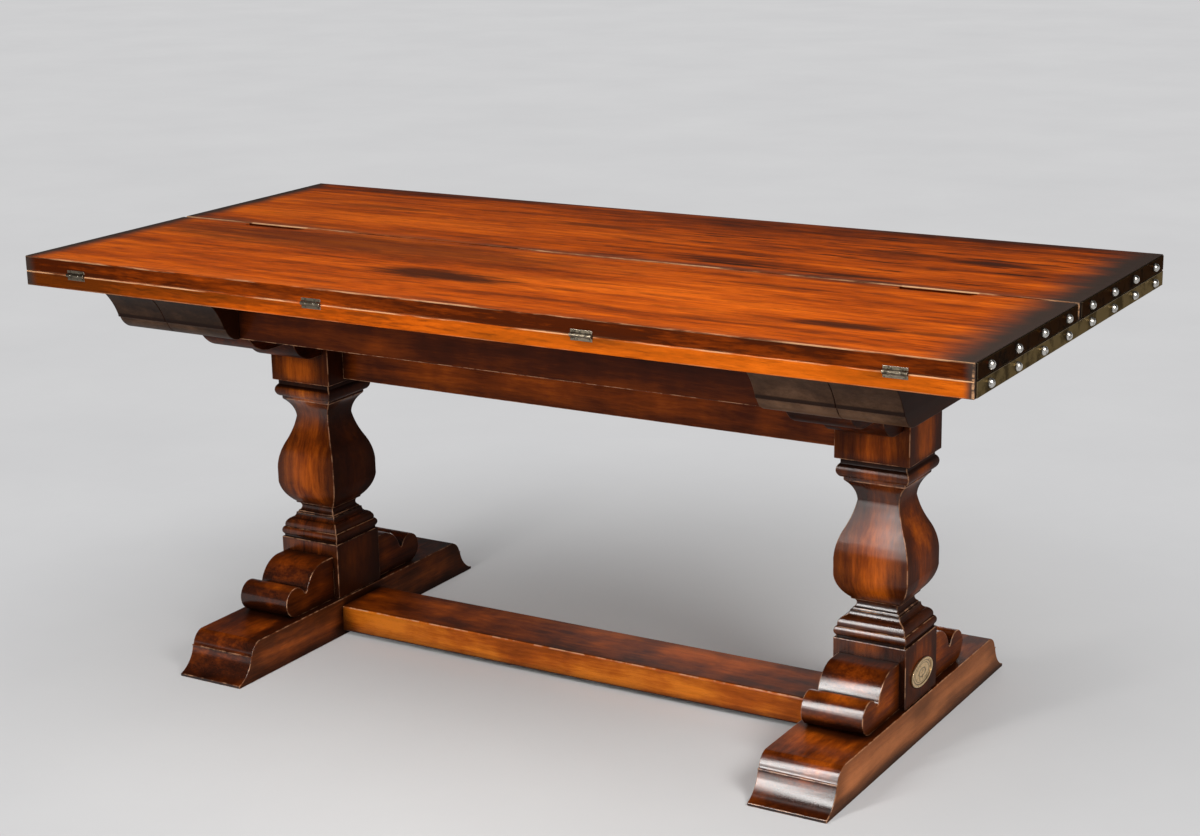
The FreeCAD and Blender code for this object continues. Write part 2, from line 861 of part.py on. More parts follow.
def trestle_end(name, end):
    """One end of the stand: foot, post, bearer and scroll brackets."""
    centre = end * trestle
    foot = place(bar(name + "_foot_blank", "YZ_Plane", foot_outline(), size("foot_width")), centre)
    foot_cuts = [
        post_tenon(name + "_foot_mortise", centre, lower_reach, snug),
        stretcher_tenon(name + "_stretcher_mortise", end, snug),
    ]
    piece(name + "_foot", cut(name + "_foot", foot, foot_cuts))

    views = [
        place(bar(name + "_post_side", "YZ_Plane", post_outline(), size("belly_width")), centre),
        place(bar(name + "_post_front", "XZ_Plane", post_outline(), size("belly_width")), centre),
    ]
    shaft = doc.addObject("Part::MultiCommon", name + "_shaft")
    shaft.Shapes = views
    stubs = [
        post_tenon(name + "_lower_stub", centre, lower_reach, 0),
        post_tenon(name + "_upper_stub", centre, upper_reach, 0),
    ]
    post = join(name + "_post_blank", [shaft] + stubs)
    piece(name + "_post", cut(name + "_post", post, [spine_tenon(name + "_spine_mortise", end, snug)]))

    bearer_outline = both_sides(*moulded_end(top_under))
    bearer = place(bar(name + "_bearer_blank", "YZ_Plane", bearer_outline, 2 * block), centre)
    bearer_cuts = [post_tenon(name + "_bearer_mortise", centre, upper_reach, snug)]
    housing = span(end, inner_face - 1, inner_face + size("apron_housing") + snug)
    for side_name, side in SIDES.items():
        across_apron = span(side, apron_near - snug, apron_far + snug)
        label = "%s_%s_housing" % (name, side_name)
        bearer_cuts.append(box(label, housing, across_apron, (bearer_under - 1, top_under + 1)))
    bearer_cuts += top_screw_drills(name, centre)
    piece(name + "_bearer", cut(name + "_bearer", bearer, bearer_cuts))

    for side_name, side in SIDES.items():
        for level, outline in (("lower", lower_bracket_outline()), ("upper", upper_bracket_outline())):
            label = "%s_%s_%s_bracket" % (name, side_name, level)
            scroll = bar(label, "YZ_Plane", one_side(side, *outline), size("bracket_width"))
            piece(label, place(scroll, centre))


def top_screw_places(centre):
    half_spread = size("top_screw_spread") / 2
    half_space = size("top_screw_spacing") / 2
    return [(centre + half_space * a, half_spread * b) for a in (-1, 1) for b in (-1, 1)]


def top_screw_drills(name, centre):
    """Stepped holes for the screws that hold the top: wide for the head, then narrow."""
    seat = bearer_under + size("top_screw_counterbore")
    drills = []
    for number, (x, y) in enumerate(top_screw_places(centre)):
        label = "%s_top_screw_%d" % (name, number)
        wide = size("top_screw_head_diameter") + 10 * clear
        mouth = rod(label + "_mouth", (x, y, bearer_under - 1), "+z", wide, size("top_screw_counterbore") + 1)
        narrow = size("top_screw_diameter") + 2 * clear
        length = top_under - seat + size("top_screw_bite") + clear
        way = rod(label + "_way", (x, y, seat), "+z", narrow, length)
        drills += [mouth, way]
    return drills


def top_screws(name, centre):
    """The screws that hold the fixed top on one bearer, and the drills for the top."""
    seat = bearer_under + size("top_screw_counterbore")
    length = top_under - seat + size("top_screw_bite")
    screws = []
    drills = []
    for number, (x, y) in enumerate(top_screw_places(centre)):
        label = "%s_top_screw_%d" % (name, number)
        under_head = seat - size("top_screw_head_height")
        head_width = size("top_screw_head_diameter")
        head = rod(label + "_head", (x, y, under_head), "+z", head_width, size("top_screw_head_height"))
        width = size("top_screw_diameter")
        shank = rod(label + "_shank", (x, y, seat), "+z", width, length)
        screws.append(join(label, [head, shank]))
        drills.append(rod(label + "_top_drill", (x, y, seat), "+z", width + 2 * clear, length + clear))
    return screws, drills


def dovetail(name, end, z_low, z_high, play, length):
    """A dovetail bar along the table's width, wider below, with some play all round."""
    centre = end * loper_centre
    slope = (size("rail_bottom_width") - size("rail_top_width")) / 2 / size("rail_height")
    top_half = size("rail_top_width") / 2 + play - slope * (z_high - top_under)
    low_half = size("rail_top_width") / 2 + play - slope * (z_low - top_under)
    outline = ((-1 * low_half, z_low), [to(low_half, z_low), to(top_half, z_high), to(-1 * top_half, z_high)])
    return place(bar(name, "XZ_Plane", outline, length), centre)


def loper(name, end, side):
    """A pull-out arm that carries the opened leaf: it hangs on the dovetail rail."""
    top = top_under - size("loper_top_gap")
    start, steps = moulded_end(top)
    near = size("loper_middle_gap") / 2
    outline = one_side(side, start, steps + [to(near, top), to(near, bearer_under)])
    arm = place(bar(name + "_arm", "YZ_Plane", outline, size("loper_width")), end * loper_centre)
    play = size("rail_play")
    groove = dovetail(name + "_groove", end, rail_under - play, top_under, play, size("rail_length") + 6)
    half = size("stop_pin_diameter") / 2 + size("stop_slot_play")
    slot = box(
        name + "_slot",
        (end * stop_x - half, end * stop_x + half),
        span(side, size("stop_pin_setback") - half, stop_y + half),
        (top_under - size("stop_pin_drop") - size("stop_slot_play"), top_under),
    )
    piece(name, cut(name, arm, [groove, slot]))


def plaque():
    """A plain oval plate with a raised rim, on the outer face of the right plinth."""
    ovals = {
        "plaque_oval": (0, 0, size("plaque_thickness") + size("plaque_relief")),
        "plaque_recess": (size("plaque_rim"), size("plaque_thickness"), size("plaque_relief") + 1),
    }
    discs = []
    for name, (inset, lift, thickness) in ovals.items():
        edge = doc.addObject("Part::Ellipse", name + "_edge")
        bind(edge, "MajorRadius", size("plaque_width") / 2 - inset)
        bind(edge, "MinorRadius", size("plaque_height") / 2 - inset)
        disc = doc.addObject("Part::Extrusion", name)
        disc.Base = edge
        disc.DirMode = "Custom"
        disc.Dir = FreeCAD.Vector(0, 0, 1)
        disc.Solid = True
        bind(disc, "LengthFwd", thickness)
        disc.Placement = FreeCAD.Placement(FreeCAD.Vector(), FreeCAD.Rotation(FreeCAD.Vector(1, 1, 1), 120))
        face = trestle + size("plinth_width") / 2
        discs.append(place(disc, face + lift, 0, size("plaque_centre_height")))
    piece("plinth_plaque", cut("plinth_plaque", discs[0], [discs[1]]))


# Put the table together

fixed_tools = trim_ends("fixed_top")
for side_name, side in SIDES.items():
    leaf = side_name + "_leaf"
    leaf_tools = trim_ends(leaf)
    for_top, for_leaf = hinges(side_name)
    fixed_tools += for_top
    leaf_tools += for_leaf
    if side_name == "front":
        for end_name, end in ENDS.items():
            notch_x = end * (half_length - size("notch_inset"))
            leaf_tools.append(finger_notch(end_name + "_finger_notch", notch_x))
    piece(leaf, cut(leaf, board(leaf), leaf_tools))

for end_name, end in ENDS.items():
    trestle_end(end_name, end)

fastenings = []
pins = []
for end_name, end in ENDS.items():
    screws, drills = top_screws(end_name, end * trestle)
    fastenings += screws
    fixed_tools += drills
    rail = end_name + "_loper_rail"
    piece(rail, dovetail(rail, end, rail_under, top_under, 0, size("rail_length")))
    for side_name, side in SIDES.items():
        loper("%s_%s_loper" % (end_name, side_name), end, side)
        label = "%s_%s_stop" % (end_name, side_name)
        start = (end * stop_x, side * stop_y, top_under - size("stop_pin_drop"))
        deep = size("stop_pin_drop") + size("stop_pin_depth")
        width = size("stop_pin_diameter")
        pins.append(rod(label + "_pin", start, "+z", width, deep))
        fixed_tools.append(rod(label + "_hole", start, "+z", width + 2 * clear, deep + clear))
piece("top_fixing_screws", group("top_fixing_screws", fastenings))
piece("loper_stop_pins", group("loper_stop_pins", pins))
piece("fixed_top", cut("fixed_top", board("fixed_top"), fixed_tools))

spine_low = bearer_under - size("spine_drop") - size("spine_height")
spine_half = size("spine_width") / 2
spine_high = spine_low + size("spine_height")
spine_across = (-1 * spine_half, spine_half)
spine = box("spine_bar", (-1 * inner_face, inner_face), spine_across, (spine_low, spine_high))
spine_ends = [spine_tenon("spine_%s_tenon" % name, end, 0) for name, end in ENDS.items()]
piece("spine_beam", join("spine_beam", [spine] + spine_ends))

stretcher_half = size("stretcher_width") / 2
stretcher_low = size("stretcher_lift")
outline = rounded_rectangle(
    (-1 * stretcher_half, stretcher_half),
    (stretcher_low, stretcher_low + size("stretcher_height")),
    size("stretcher_round"),
)
beam = bar("stretcher_bar", "YZ_Plane", outline, 2 * trestle - size("foot_width"))
stretcher_ends = [stretcher_tenon("stretcher_%s_tenon" % name, end, 0) for name, end in ENDS.items()]
piece("stretcher", join("stretcher", [beam] + stretcher_ends))

for side_name, side in SIDES.items():
    name = side_name + "_apron"
    reach = inner_face + size("apron_housing")
    piece(name, box(name, (-1 * reach, reach), span(side, apron_near, apron_far), (bearer_under, top_under)))

plaque()
doc.recompute()

# Check every piece, then write it

troubles = [thing.Name for thing in doc.Objects if "Invalid" in thing.State or "Error" in thing.State]
for name, thing in pieces.items():
    if thing.Shape.isNull() or not thing.Shape.isValid() or not thing.Shape.Solids:
        troubles.append(name)
if troubles:
    raise RuntimeError("not sound: " + ", ".join(troubles))

os.makedirs("parts", exist_ok=True)
for name, thing in pieces.items():
    thing.Shape.exportStep("parts/%s.step" % name)
print("%d pieces written" % len(pieces))
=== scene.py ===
# %% [markdown]
# # A flip-top trestle table
# The solids of the table come ready from the frame: boards, posts, feet, scrolls and hinges, each
# at its real size and in its real place. This lesson dresses them. It eases the sharp arrises as
# a joiner does, gives every piece its finish from nodes, and lights the table in a plain studio.

# %% Load the frame
import json
import math
from dataclasses import dataclass

import bmesh
import bpy
from mathutils import Matrix, Vector

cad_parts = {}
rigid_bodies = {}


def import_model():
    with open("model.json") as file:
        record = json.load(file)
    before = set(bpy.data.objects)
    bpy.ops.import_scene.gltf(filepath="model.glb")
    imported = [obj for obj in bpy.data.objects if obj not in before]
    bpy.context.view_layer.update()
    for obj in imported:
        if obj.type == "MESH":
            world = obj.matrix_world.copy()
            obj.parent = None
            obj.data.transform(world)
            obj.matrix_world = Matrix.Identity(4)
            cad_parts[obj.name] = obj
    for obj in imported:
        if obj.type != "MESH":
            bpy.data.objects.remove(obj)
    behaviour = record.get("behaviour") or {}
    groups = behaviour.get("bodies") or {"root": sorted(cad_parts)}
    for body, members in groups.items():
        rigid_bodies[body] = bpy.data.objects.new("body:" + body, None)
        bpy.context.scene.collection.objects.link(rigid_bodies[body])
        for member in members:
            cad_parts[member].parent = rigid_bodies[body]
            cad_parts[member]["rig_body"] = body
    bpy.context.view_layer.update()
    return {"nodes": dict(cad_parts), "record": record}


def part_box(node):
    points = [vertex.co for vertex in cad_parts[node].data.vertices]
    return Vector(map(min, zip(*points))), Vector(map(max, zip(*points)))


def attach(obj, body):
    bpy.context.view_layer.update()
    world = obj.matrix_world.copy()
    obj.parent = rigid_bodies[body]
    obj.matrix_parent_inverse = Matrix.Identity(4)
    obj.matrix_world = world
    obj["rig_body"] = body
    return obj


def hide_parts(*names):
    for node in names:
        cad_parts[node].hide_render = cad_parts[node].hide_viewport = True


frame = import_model()
nodes = frame["nodes"]
slot_of = {row["node"]: row["material_slot"] for row in frame["record"]["subparts"]}
scene = bpy.context.scene

# %% [markdown]
# ## Writing shaders as sums
# A finish is a net of nodes. It could be wired by hand in the shader editor, or with a line of
# Python for every node and link, but both hide the idea. Here a socket is wrapped in a small
# class with the usual operators, so that `1 - mask * 0.5` adds the Math nodes that it needs.


# %% Sockets that add up
class Wire:
    """An output socket that can stand in a sum."""

    def __init__(self, finish, socket):
        self.finish = finish
        self.socket = socket

    def math(self, operation, first, second=0.0):
        return self.finish.node("Math", {"operation": operation}, {0: first, 1: second})

    def __add__(self, other):
        return self.math("ADD", self, other)

    def __radd__(self, other):
        return self.math("ADD", other, self)

    def __sub__(self, other):
        return self.math("SUBTRACT", self, other)

    def __rsub__(self, other):
        return self.math("SUBTRACT", other, self)

    def __mul__(self, other):
        return self.math("MULTIPLY", self, other)

    def __rmul__(self, other):
        return self.math("MULTIPLY", other, self)

    def __truediv__(self, other):
        return self.math("DIVIDE", self, other)

    def __rtruediv__(self, other):
        return self.math("DIVIDE", other, self)

    def __abs__(self):
        return self.math("ABSOLUTE", self)

    def floor(self):
        return self.math("FLOOR", self)

    def root(self):
        return self.math("SQRT", self)

    def at_most(self, other):
        return self.math("MINIMUM", self, other)

    def at_least(self, other):
        return self.math("MAXIMUM", self, other)


# %% [markdown]
# Not every node is a sum. One method makes any other node from its type, its settings and its
# inputs. A few short methods around it give the nodes that come back often: noise, a smooth ramp,
# a blend of two colours, a bump.


# %% Colours and ramps
def set_stops(color_ramp, stops):
    """Give a colour ramp its stops: pairs of a place from 0 to 1 and a colour."""
    while len(color_ramp.elements) < len(stops):
        color_ramp.elements.new(0.5)
    for element, (spot, colour) in zip(color_ramp.elements, stops):
        element.position = spot
        element.color = colour


def paint(red, green, blue):
    return (red, green, blue, 1.0)


# %% A finish made of nodes
class Finish:
    """A material that is being made from nodes."""

    def __init__(self, name):
        self.material = bpy.data.materials.new(name)
        self.material.use_nodes = True
        self.tree = self.material.node_tree
        self.tree.nodes.clear()

    def node(self, kind, settings=None, inputs=None, output=0):
        made = self.tree.nodes.new("ShaderNode" + kind)
        for key, value in (settings or {}).items():
            if key == "stops":
                set_stops(made.color_ramp, value)
            else:
                setattr(made, key, value)
        for key, value in (inputs or {}).items():
            if isinstance(value, Wire):
                self.tree.links.new(value.socket, made.inputs[key])
            else:
                made.inputs[key].default_value = value
        return Wire(self, made.outputs[output]) if len(made.outputs) else None

    def parts(self, vector):
        return [self.node("SeparateXYZ", {}, {0: vector}, output=axis) for axis in "XYZ"]

    def axes(self):
        """The three coordinates of a point of the piece, in metres."""
        return self.parts(self.node("TexCoord", output="Object"))

    def facing(self):
        """The three parts of the direction that the surface faces."""
        return self.parts(self.node("TexCoord", output="Normal"))

    def point(self, x, y, z):
        return self.node("CombineXYZ", {}, {0: x, 1: y, 2: z})

    def noise(self, point, detail=3.0, roughness=0.55, scale=1.0):
        values = {"Vector": point, "Scale": scale, "Detail": detail, "Roughness": roughness}
        return self.node("TexNoise", {}, values, output="Fac")

    def ramp(self, value, low, high):
        """0 below low, 1 above high, and a smooth rise between them (low may be the larger)."""
        values = {"Value": value, "From Min": low, "From Max": high}
        return self.node("MapRange", {"interpolation_type": "SMOOTHSTEP"}, values)

    def mix(self, share, first, second):
        """Blend two colours."""
        values = {0: share, 6: first, 7: second}
        return self.node("Mix", {"data_type": "RGBA"}, values, output=2)

    def gradient(self, value, stops):
        """A colour for a value from 0 to 1."""
        return self.node("ValToRGB", {"stops": stops}, {"Fac": value})

    def openness(self, distance, inside=False):
        """1 on an open face, less in a hollow (or, from inside, less along an arris)."""
        settings = {"samples": 8, "inside": inside, "only_local": inside}
        return self.node("AmbientOcclusion", settings, {"Distance": distance}, output="AO")

    def bump(self, height, strength, distance):
        values = {"Height": height, "Strength": strength, "Distance": distance}
        return self.node("Bump", {}, values)

    def surface(self, sockets):
        return self.node("BsdfPrincipled", {}, sockets, output="BSDF")

    def close(self, surface):
        self.node("OutputMaterial", {"is_active_output": True}, {"Surface": surface})
        print("finish", self.material.name, len(self.tree.nodes), "nodes")
        return self.material


# %% [markdown]
# ## The top: grain
# The real top is glued from long boards with a streaky figure. An image texture could show it,
# but it blurs close by. Noise that is drawn out along the board stays sharp at any distance, and
# four sizes of it make the broad bands, the streaks, the fine lines and the pores.

# %% Grain
# Waves in a metre, along the grain and across it.
SWAY_WAVES, BAND_WAVES, STREAK_WAVES = (2.6, 6), (1.6, 13), (5.5, 62)
LINE_WAVES, FIBRE_WAVES = (28, 250), (60, 1300)
SWAY = 0.026
PORE_RISE = (0.60, 0.72)


def stretched(finish, place, waves, detail, roughness=0.55):
    """Noise that is drawn out along the grain. A place is along, across and up, in metres."""
    along, across, up = place
    spot = finish.point(along * waves[0], across * waves[1], up * waves[1])
    return finish.noise(spot, detail, roughness)


def grain(finish, place):
    """The figure of the wood, each from 0 to 1: broad bands, streaks, fine lines and pores."""
    along, across, up = place
    sway = (stretched(finish, place, SWAY_WAVES, 2) - 0.5) * SWAY
    place = (along, across + sway, up)
    bands = stretched(finish, place, BAND_WAVES, 4, 0.60)
    streaks = stretched(finish, place, STREAK_WAVES, 4, 0.65)
    lines = stretched(finish, place, LINE_WAVES, 3, 0.70)
    fibres = stretched(finish, place, FIBRE_WAVES, 2)
    return bands, streaks, lines, finish.ramp(fibres, *PORE_RISE)


print("a streak is about", round(1000 / STREAK_WAVES[1]), "mm wide")

# %% [markdown]
# ## The top: where a point lies
# The finish of a real board changes toward its ends and its arrises, and its long edges differ
# from its faces. A painted mask could hold that, one for each board. Here every mask is worked
# out from the board's own box, so it fits the board at any size.

# %% Measures of a board
EDGE_FACING = (0.6, 0.8)
LEFT_HALF = (0.25, -0.25)
LEVEL_BLEND = 0.002


class Board:
    """A board of the top: its finish, its grain, and how far each point is from its borders."""

    def __init__(self, node):
        finish = self.finish = Finish(node + "_lacquer")
        low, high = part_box(node)
        x, y, z = self.place = finish.axes()
        self.on_edge = finish.ramp(abs(finish.facing()[1]), *EDGE_FACING)
        self.left = finish.ramp(x, *LEFT_HALF)
        self.bands, self.streaks, self.lines, self.pores = grain(finish, self.place)
        self.to_end = high.x - abs(x)
        self.to_long_edge = (high.y - low.y) / 2 - abs(y - (high.y + low.y) / 2)
        self.to_face = (z - low.z).at_most(high.z - z)
        level = (low.z + high.z) / 2
        self.upper = finish.ramp(z, level - LEVEL_BLEND, level + LEVEL_BLEND)
        print(node, "measures", [round(1000 * size) for size in high - low], "mm")

    def blend(self, pair):
        """A pair gives the value for the left half and the value for the right half."""
        return pair[1] + self.left * (pair[0] - pair[1])


# %% [markdown]
# ## The top: stain
# The top is stained orange-brown. One flat colour would look like paint, so the grain picks a
# colour from a ramp of stains. Each glued plank has a tone of its own, and so do the long edges,
# which darken toward the ends. The lower board's edge has a golden stain on top.

# %% Stain of a board
TOP_STOPS = (
    (0.10, paint(0.050, 0.0080, 0.0012)),
    (0.36, paint(0.190, 0.0290, 0.0018)),
    (0.54, paint(0.400, 0.0620, 0.0022)),
    (0.80, paint(0.660, 0.1250, 0.0060)),
)
EDGE_GOLD = paint(0.520, 0.1250, 0.0060)
PLANK_WIDTH = 0.0872
TOP_TONE = -0.715
LEFT_DARK, RIGHT_DARK, BACK_DARK = (-0.22, -0.90), (0.62, 0.80), (0.19, 0.43)
LESS_GOLD_LEFT = 0.7


def board_stain(board, lifts, edge_lifts, end_shades, back_shade=0.0, gold=0.0):
    """The colour of the stained wood. A lift makes it lighter, a shade darker."""
    finish, (x, y, _) = board.finish, board.place
    plank = finish.point((y / PLANK_WIDTH).floor(), 0.5, 0.5)
    plank_tone = finish.node(
        "TexWhiteNoise", {"noise_dimensions": "2D"}, {"Vector": plank}, "Value")
    figure = board.bands * 1.05 + board.streaks * 0.80 + board.lines * 0.46
    tone = figure + plank_tone * 0.16 + TOP_TONE + board.blend(lifts)
    if back_shade:
        tone = tone - finish.ramp(y, *BACK_DARK) * (1 - board.on_edge) * back_shade
    edge_lift = board.blend(edge_lifts)
    for reach, shade in zip((LEFT_DARK, RIGHT_DARK), end_shades):
        if shade:
            edge_lift = edge_lift - finish.ramp(x, *reach) * shade
    colour = finish.gradient(tone + board.on_edge * edge_lift, TOP_STOPS)
    if gold:
        share = board.on_edge * (1 - board.left * LESS_GOLD_LEFT) * gold
        colour = finish.mix(share, colour, EDGE_GOLD)
    return colour


# %% [markdown]
# ## The top: glaze
# A dark glaze was wiped over the stain and rubbed off again. It stays in long smudges, in flecks
# and in the pores, and the rag left some larger marks. Noise alone would put those anywhere, so
# they are ovals at given places with a ragged outline, and noise makes the rest.

# %% Glaze of a board
GLAZE = paint(0.026, 0.0075, 0.0030)
SMUDGE_START = (3.7, 1.3)
# A length and a width in metres, where the noise begins to show and where it is full.
BROAD_SMUDGES = ((0.34, 0.075), (0.58, 0.78))
THIN_SMUDGES = ((0.16, 0.018), (0.56, 0.68))
FLECKS = ((0.075, 0.0070), (0.55, 0.66))
BROAD_DEPTH, FLECK_DEPTH, PORE_DEPTH = 0.55, 0.36, 0.35
RAG_WAVES, RAGGEDNESS, RAG_FADE = (8, 80), 3.2, (1.45, 0.10)


def smudges(board, size, rise):
    """Long dark smudges: 1 in a smudge, 0 beside it."""
    (length, width), (along, across, up) = size, board.place
    spot = board.finish.point(
        along / length + SMUDGE_START[0], across / width + SMUDGE_START[1], up / width)
    return board.finish.ramp(board.finish.noise(spot, 3, 0.55), *rise)


def board_glaze(board, colour, dashes, marks):
    """Dashes are the strength of the thin smudges. A mark is a place, a size and a depth."""
    finish, (x, y, _) = board.finish, board.place
    dark = smudges(board, *BROAD_SMUDGES) * BROAD_DEPTH
    ragged = (stretched(finish, board.place, RAG_WAVES, 5, 0.70) - 0.5) * RAGGEDNESS
    for mark_x, mark_y, length, width, depth in marks:
        along, across = (x - mark_x) / length, (y - mark_y) / width
        mark = finish.ramp(along * along + across * across + ragged, *RAG_FADE)
        dark = dark.at_least(mark * (1 - board.on_edge) * depth)
    dark = dark.at_least(smudges(board, *THIN_SMUDGES) * board.blend(dashes))
    dark = dark.at_least(smudges(board, *FLECKS) * FLECK_DEPTH)
    colour = finish.mix(dark, colour, GLAZE)
    return finish.mix(board.pores * PORE_DEPTH, colour, GLAZE)


# %% [markdown]
# ## The top: scorched ends
# The ends of the real boards are burnt to near black, with a border that wanders. A gradient
# texture would give a straight one. The distance to the end, shaken by noise, gives the uneven
# one. The left end is burnt less far in, and the long rims carry a little soot too.

# %% Scorch of a board
CHAR = paint(0.0400, 0.0275, 0.0225)
DRIFT_WAVES = (4, 14, 8)
SCORCH_FADE, SCORCH_DRIFT = (0.112, 0.014), 0.09
LEFT_SCORCH = 2.1
EDGE_SCORCH, LEFT_EDGE_SCORCH = 5, 3
RIM_FADE, RIM_DRIFT = (0.03, 0.0), 0.03


def board_scorch(board, rim_share):
    """Two masks: the burnt ends, and the ends together with the sooty rims."""
    finish, (x, y, z) = board.finish, board.place
    waves = [place * count for place, count in zip((x, y, z), DRIFT_WAVES)]
    drift = finish.noise(finish.point(*waves), 4, 0.6) - 0.5
    on_edge = board.on_edge * (EDGE_SCORCH - board.left * LEFT_EDGE_SCORCH)
    shrink = 1 + board.left * (LEFT_SCORCH - 1) + on_edge
    ends = finish.ramp(board.to_end * shrink + drift * SCORCH_DRIFT, *SCORCH_FADE)
    rim = finish.ramp(board.to_long_edge + drift * RIM_DRIFT, *RIM_FADE)
    return ends, ends.at_least(rim * (1 - board.on_edge) * rim_share)


# %% [markdown]
# ## The top: worn arrises, and a painted highlight by the notches
# Hands have rubbed the long arrises down to pale wood, in patches. Beside the two finger notches
# the back leaf's upper arrises are paler still, as wear and as a painted highlight of the notch's
# lit edge. A strip of faces with a second material could carry that. The boards keep their solids
# here, so the distances to the two faces that meet say where the arris is.

# %% Wear and a painted highlight of a board
PALE_WEAR_AND_SHINE = paint(0.60, 0.33, 0.17)
PATCH_WAVES, PATCH_RISE = (9, 120), (0.40, 0.62)
ARRIS_FADE, CORNER_FADE, CORNER_DEPTH = (0.0026, 0.0016), (0.0040, 0.0020), 0.7
NOTCH_MIDDLE, NOTCH_HALF, NOTCH_BLEND, NOTCH_SHINE_DEPTH = 0.679, 0.069, 0.004, 0.8


def board_wear_and_shine(board, rubs, notch_wear_and_shine):
    """A mask of bare wood, with a painted highlight beside the notches.
    Rubs are the strengths of the lower arrises and the upper ones.
    """
    finish = board.finish
    patchy = finish.ramp(stretched(finish, board.place, PATCH_WAVES, 4, 0.65), *PATCH_RISE)
    rubbed = rubs[0] + board.upper * (rubs[1] - rubs[0])
    # Beside the notches: wear, and a painted highlight of the notch's lit edge.
    if notch_wear_and_shine:
        away = abs(abs(board.place[0]) - NOTCH_MIDDLE)
        beside = finish.ramp(away, NOTCH_HALF + NOTCH_BLEND, NOTCH_HALF - NOTCH_BLEND)
        rubbed = rubbed.at_least(beside * board.upper)
        patchy = patchy.at_least(beside * NOTCH_SHINE_DEPTH)
    arris = finish.ramp(board.to_long_edge + board.to_face, *ARRIS_FADE) * rubbed
    corner = finish.ramp(board.to_long_edge + board.to_end, *CORNER_FADE)
    return arris.at_least(corner * (1 - board.left) * CORNER_DEPTH) * patchy


# %% [markdown]
# ## The three boards
# Both leaves and the fixed board under them had the same treatment, each with small differences.
# Three materials by hand would drift apart, so one function lays the coats in order and a table
# gives each board its own strengths. The lacquer over them is a dull one, so the top keeps its
# colour at a low angle instead of showing the studio.

# %% Strengths for each board
# The places and sizes of rag marks in metres, and their depth from 0 to 1.
FRONT_MARKS = (
    (-0.123, -0.256, 0.165, 0.040, 0.92),
    (-0.400, -0.062, 0.330, 0.046, 0.62),
    (-0.440, -0.090, 0.560, 0.085, 0.66),
    (-0.640, -0.060, 0.130, 0.020, 0.60),
    (0.655, -0.302, 0.110, 0.023, 0.90),
    (0.800, -0.300, 0.060, 0.016, 0.65),
    (0.440, -0.090, 0.100, 0.012, 0.55),
)
BACK_MARKS = (
    (0.500, 0.035, 0.130, 0.011, 0.85),
    (0.690, 0.226, 0.095, 0.019, 0.88),
    (0.520, 0.250, 0.090, 0.012, 0.75),
    (0.260, 0.060, 0.110, 0.010, 0.60),
    (-0.110, 0.255, 0.120, 0.018, 0.65),
    (-0.600, 0.250, 0.130, 0.016, 0.55),
)
BOARDS = {
    "front_leaf": {
        "stain": {"lifts": (0.09, 0.06), "edge_lifts": (-0.36, -0.42), "end_shades": (0.20, 0.0)},
        "dashes": (0.40, 0.50), "marks": FRONT_MARKS, "rim_share": 0.25, "rubs": (0.1, 0.6)},
    "back_leaf": {
        "stain": {"lifts": (0.12, 0.02), "edge_lifts": (-0.38, -0.44), "end_shades": (0.20, 0.0),
                  "back_shade": 0.22},
        "dashes": (0.25, 0.95), "marks": BACK_MARKS, "rim_share": 0.60, "rubs": (0.1, 0.6)},
    "fixed_top": {
        "stain": {"lifts": (0.04, 0.04), "edge_lifts": (-0.24, -0.03), "end_shades": (0.42, 0.12),
                  "gold": 0.35},
        "dashes": (0.40, 0.40), "marks": (), "rim_share": 0.25, "rubs": (0.3, 0.8)},
}
print(len(FRONT_MARKS), "marks on the front leaf,", len(BACK_MARKS), "on the back leaf")

# %% Finish the boards
GRAIN_DEPTH = 0.0006


def board_finish(node, stain, dashes, marks, rim_share, rubs):
    board = Board(node)
    finish = board.finish
    colour = board_glaze(board, board_stain(board, **stain), dashes, marks)
    scorch, burnt = board_scorch(board, rim_share)
    colour = finish.mix(burnt, colour, CHAR)
    colour = finish.mix(board_wear_and_shine(board, rubs, node == "back_leaf"), colour, PALE_WEAR_AND_SHINE)
    relief = board.lines * 0.4 + board.streaks * 0.5 - board.pores * 0.6
    return finish.close(finish.surface({
        "Base Color": colour,
        "Roughness": 0.44 + board.streaks * 0.14 + scorch * 0.06,
        "Specular IOR Level": 0.012,
        "Normal": finish.bump(relief, 0.14, GRAIN_DEPTH),
    }))


def coat(node, material):
    """Put a finish on a solid that keeps its shape."""
    nodes[node].data.materials.clear()
    nodes[node].data.materials.append(material)


for board_node, strengths in BOARDS.items():
    coat(board_node, board_finish(board_node, **strengths))

# %% [markdown]
# ## The trestles: how a piece can look
# The stand is the same wood under a darker stain. The members right under the top are smoked to
# a grey brown that also holds a painted sheen, and their sides get painted shade. Each kind of
# piece could have a material written out for it. They share most of it, so a small record lists
# what can differ, with the plain case filled in.

# %% Looks of the stand
STAND_STOPS = (
    (0.12, paint(0.012, 0.0024, 0.0008)),
    (0.36, paint(0.064, 0.0108, 0.0012)),
    (0.54, paint(0.190, 0.0340, 0.0022)),
    (0.80, paint(0.480, 0.0980, 0.0050)),
    (1.00, paint(0.800, 0.2200, 0.0140)),
)
# A smoked grey brown, greyed and lightened to hold a painted sheen as well.
SMOKED_SHEEN_STOPS = (
    (0.12, paint(0.020, 0.0095, 0.0047)),
    (0.40, paint(0.050, 0.0245, 0.0122)),
    (0.60, paint(0.085, 0.0430, 0.0225)),
    (0.85, paint(0.135, 0.0700, 0.0380)),
)
# The soot-dark stain of pores and arrises, also the colour of painted shade in hollows and grooves.
SOOT_AND_SHADE = paint(0.0085, 0.0024, 0.0010)
# The colour of the painted shade on the sides of the stand pieces.
SIDE_SHADE_COLOUR = paint(0.0260, 0.0070, 0.0025)
RUBBED = paint(0.50, 0.26, 0.14)
# Paler scuffed wood, also holding a painted sheen.
SCUFFED_AND_SHEEN = paint(0.54, 0.195, 0.072)


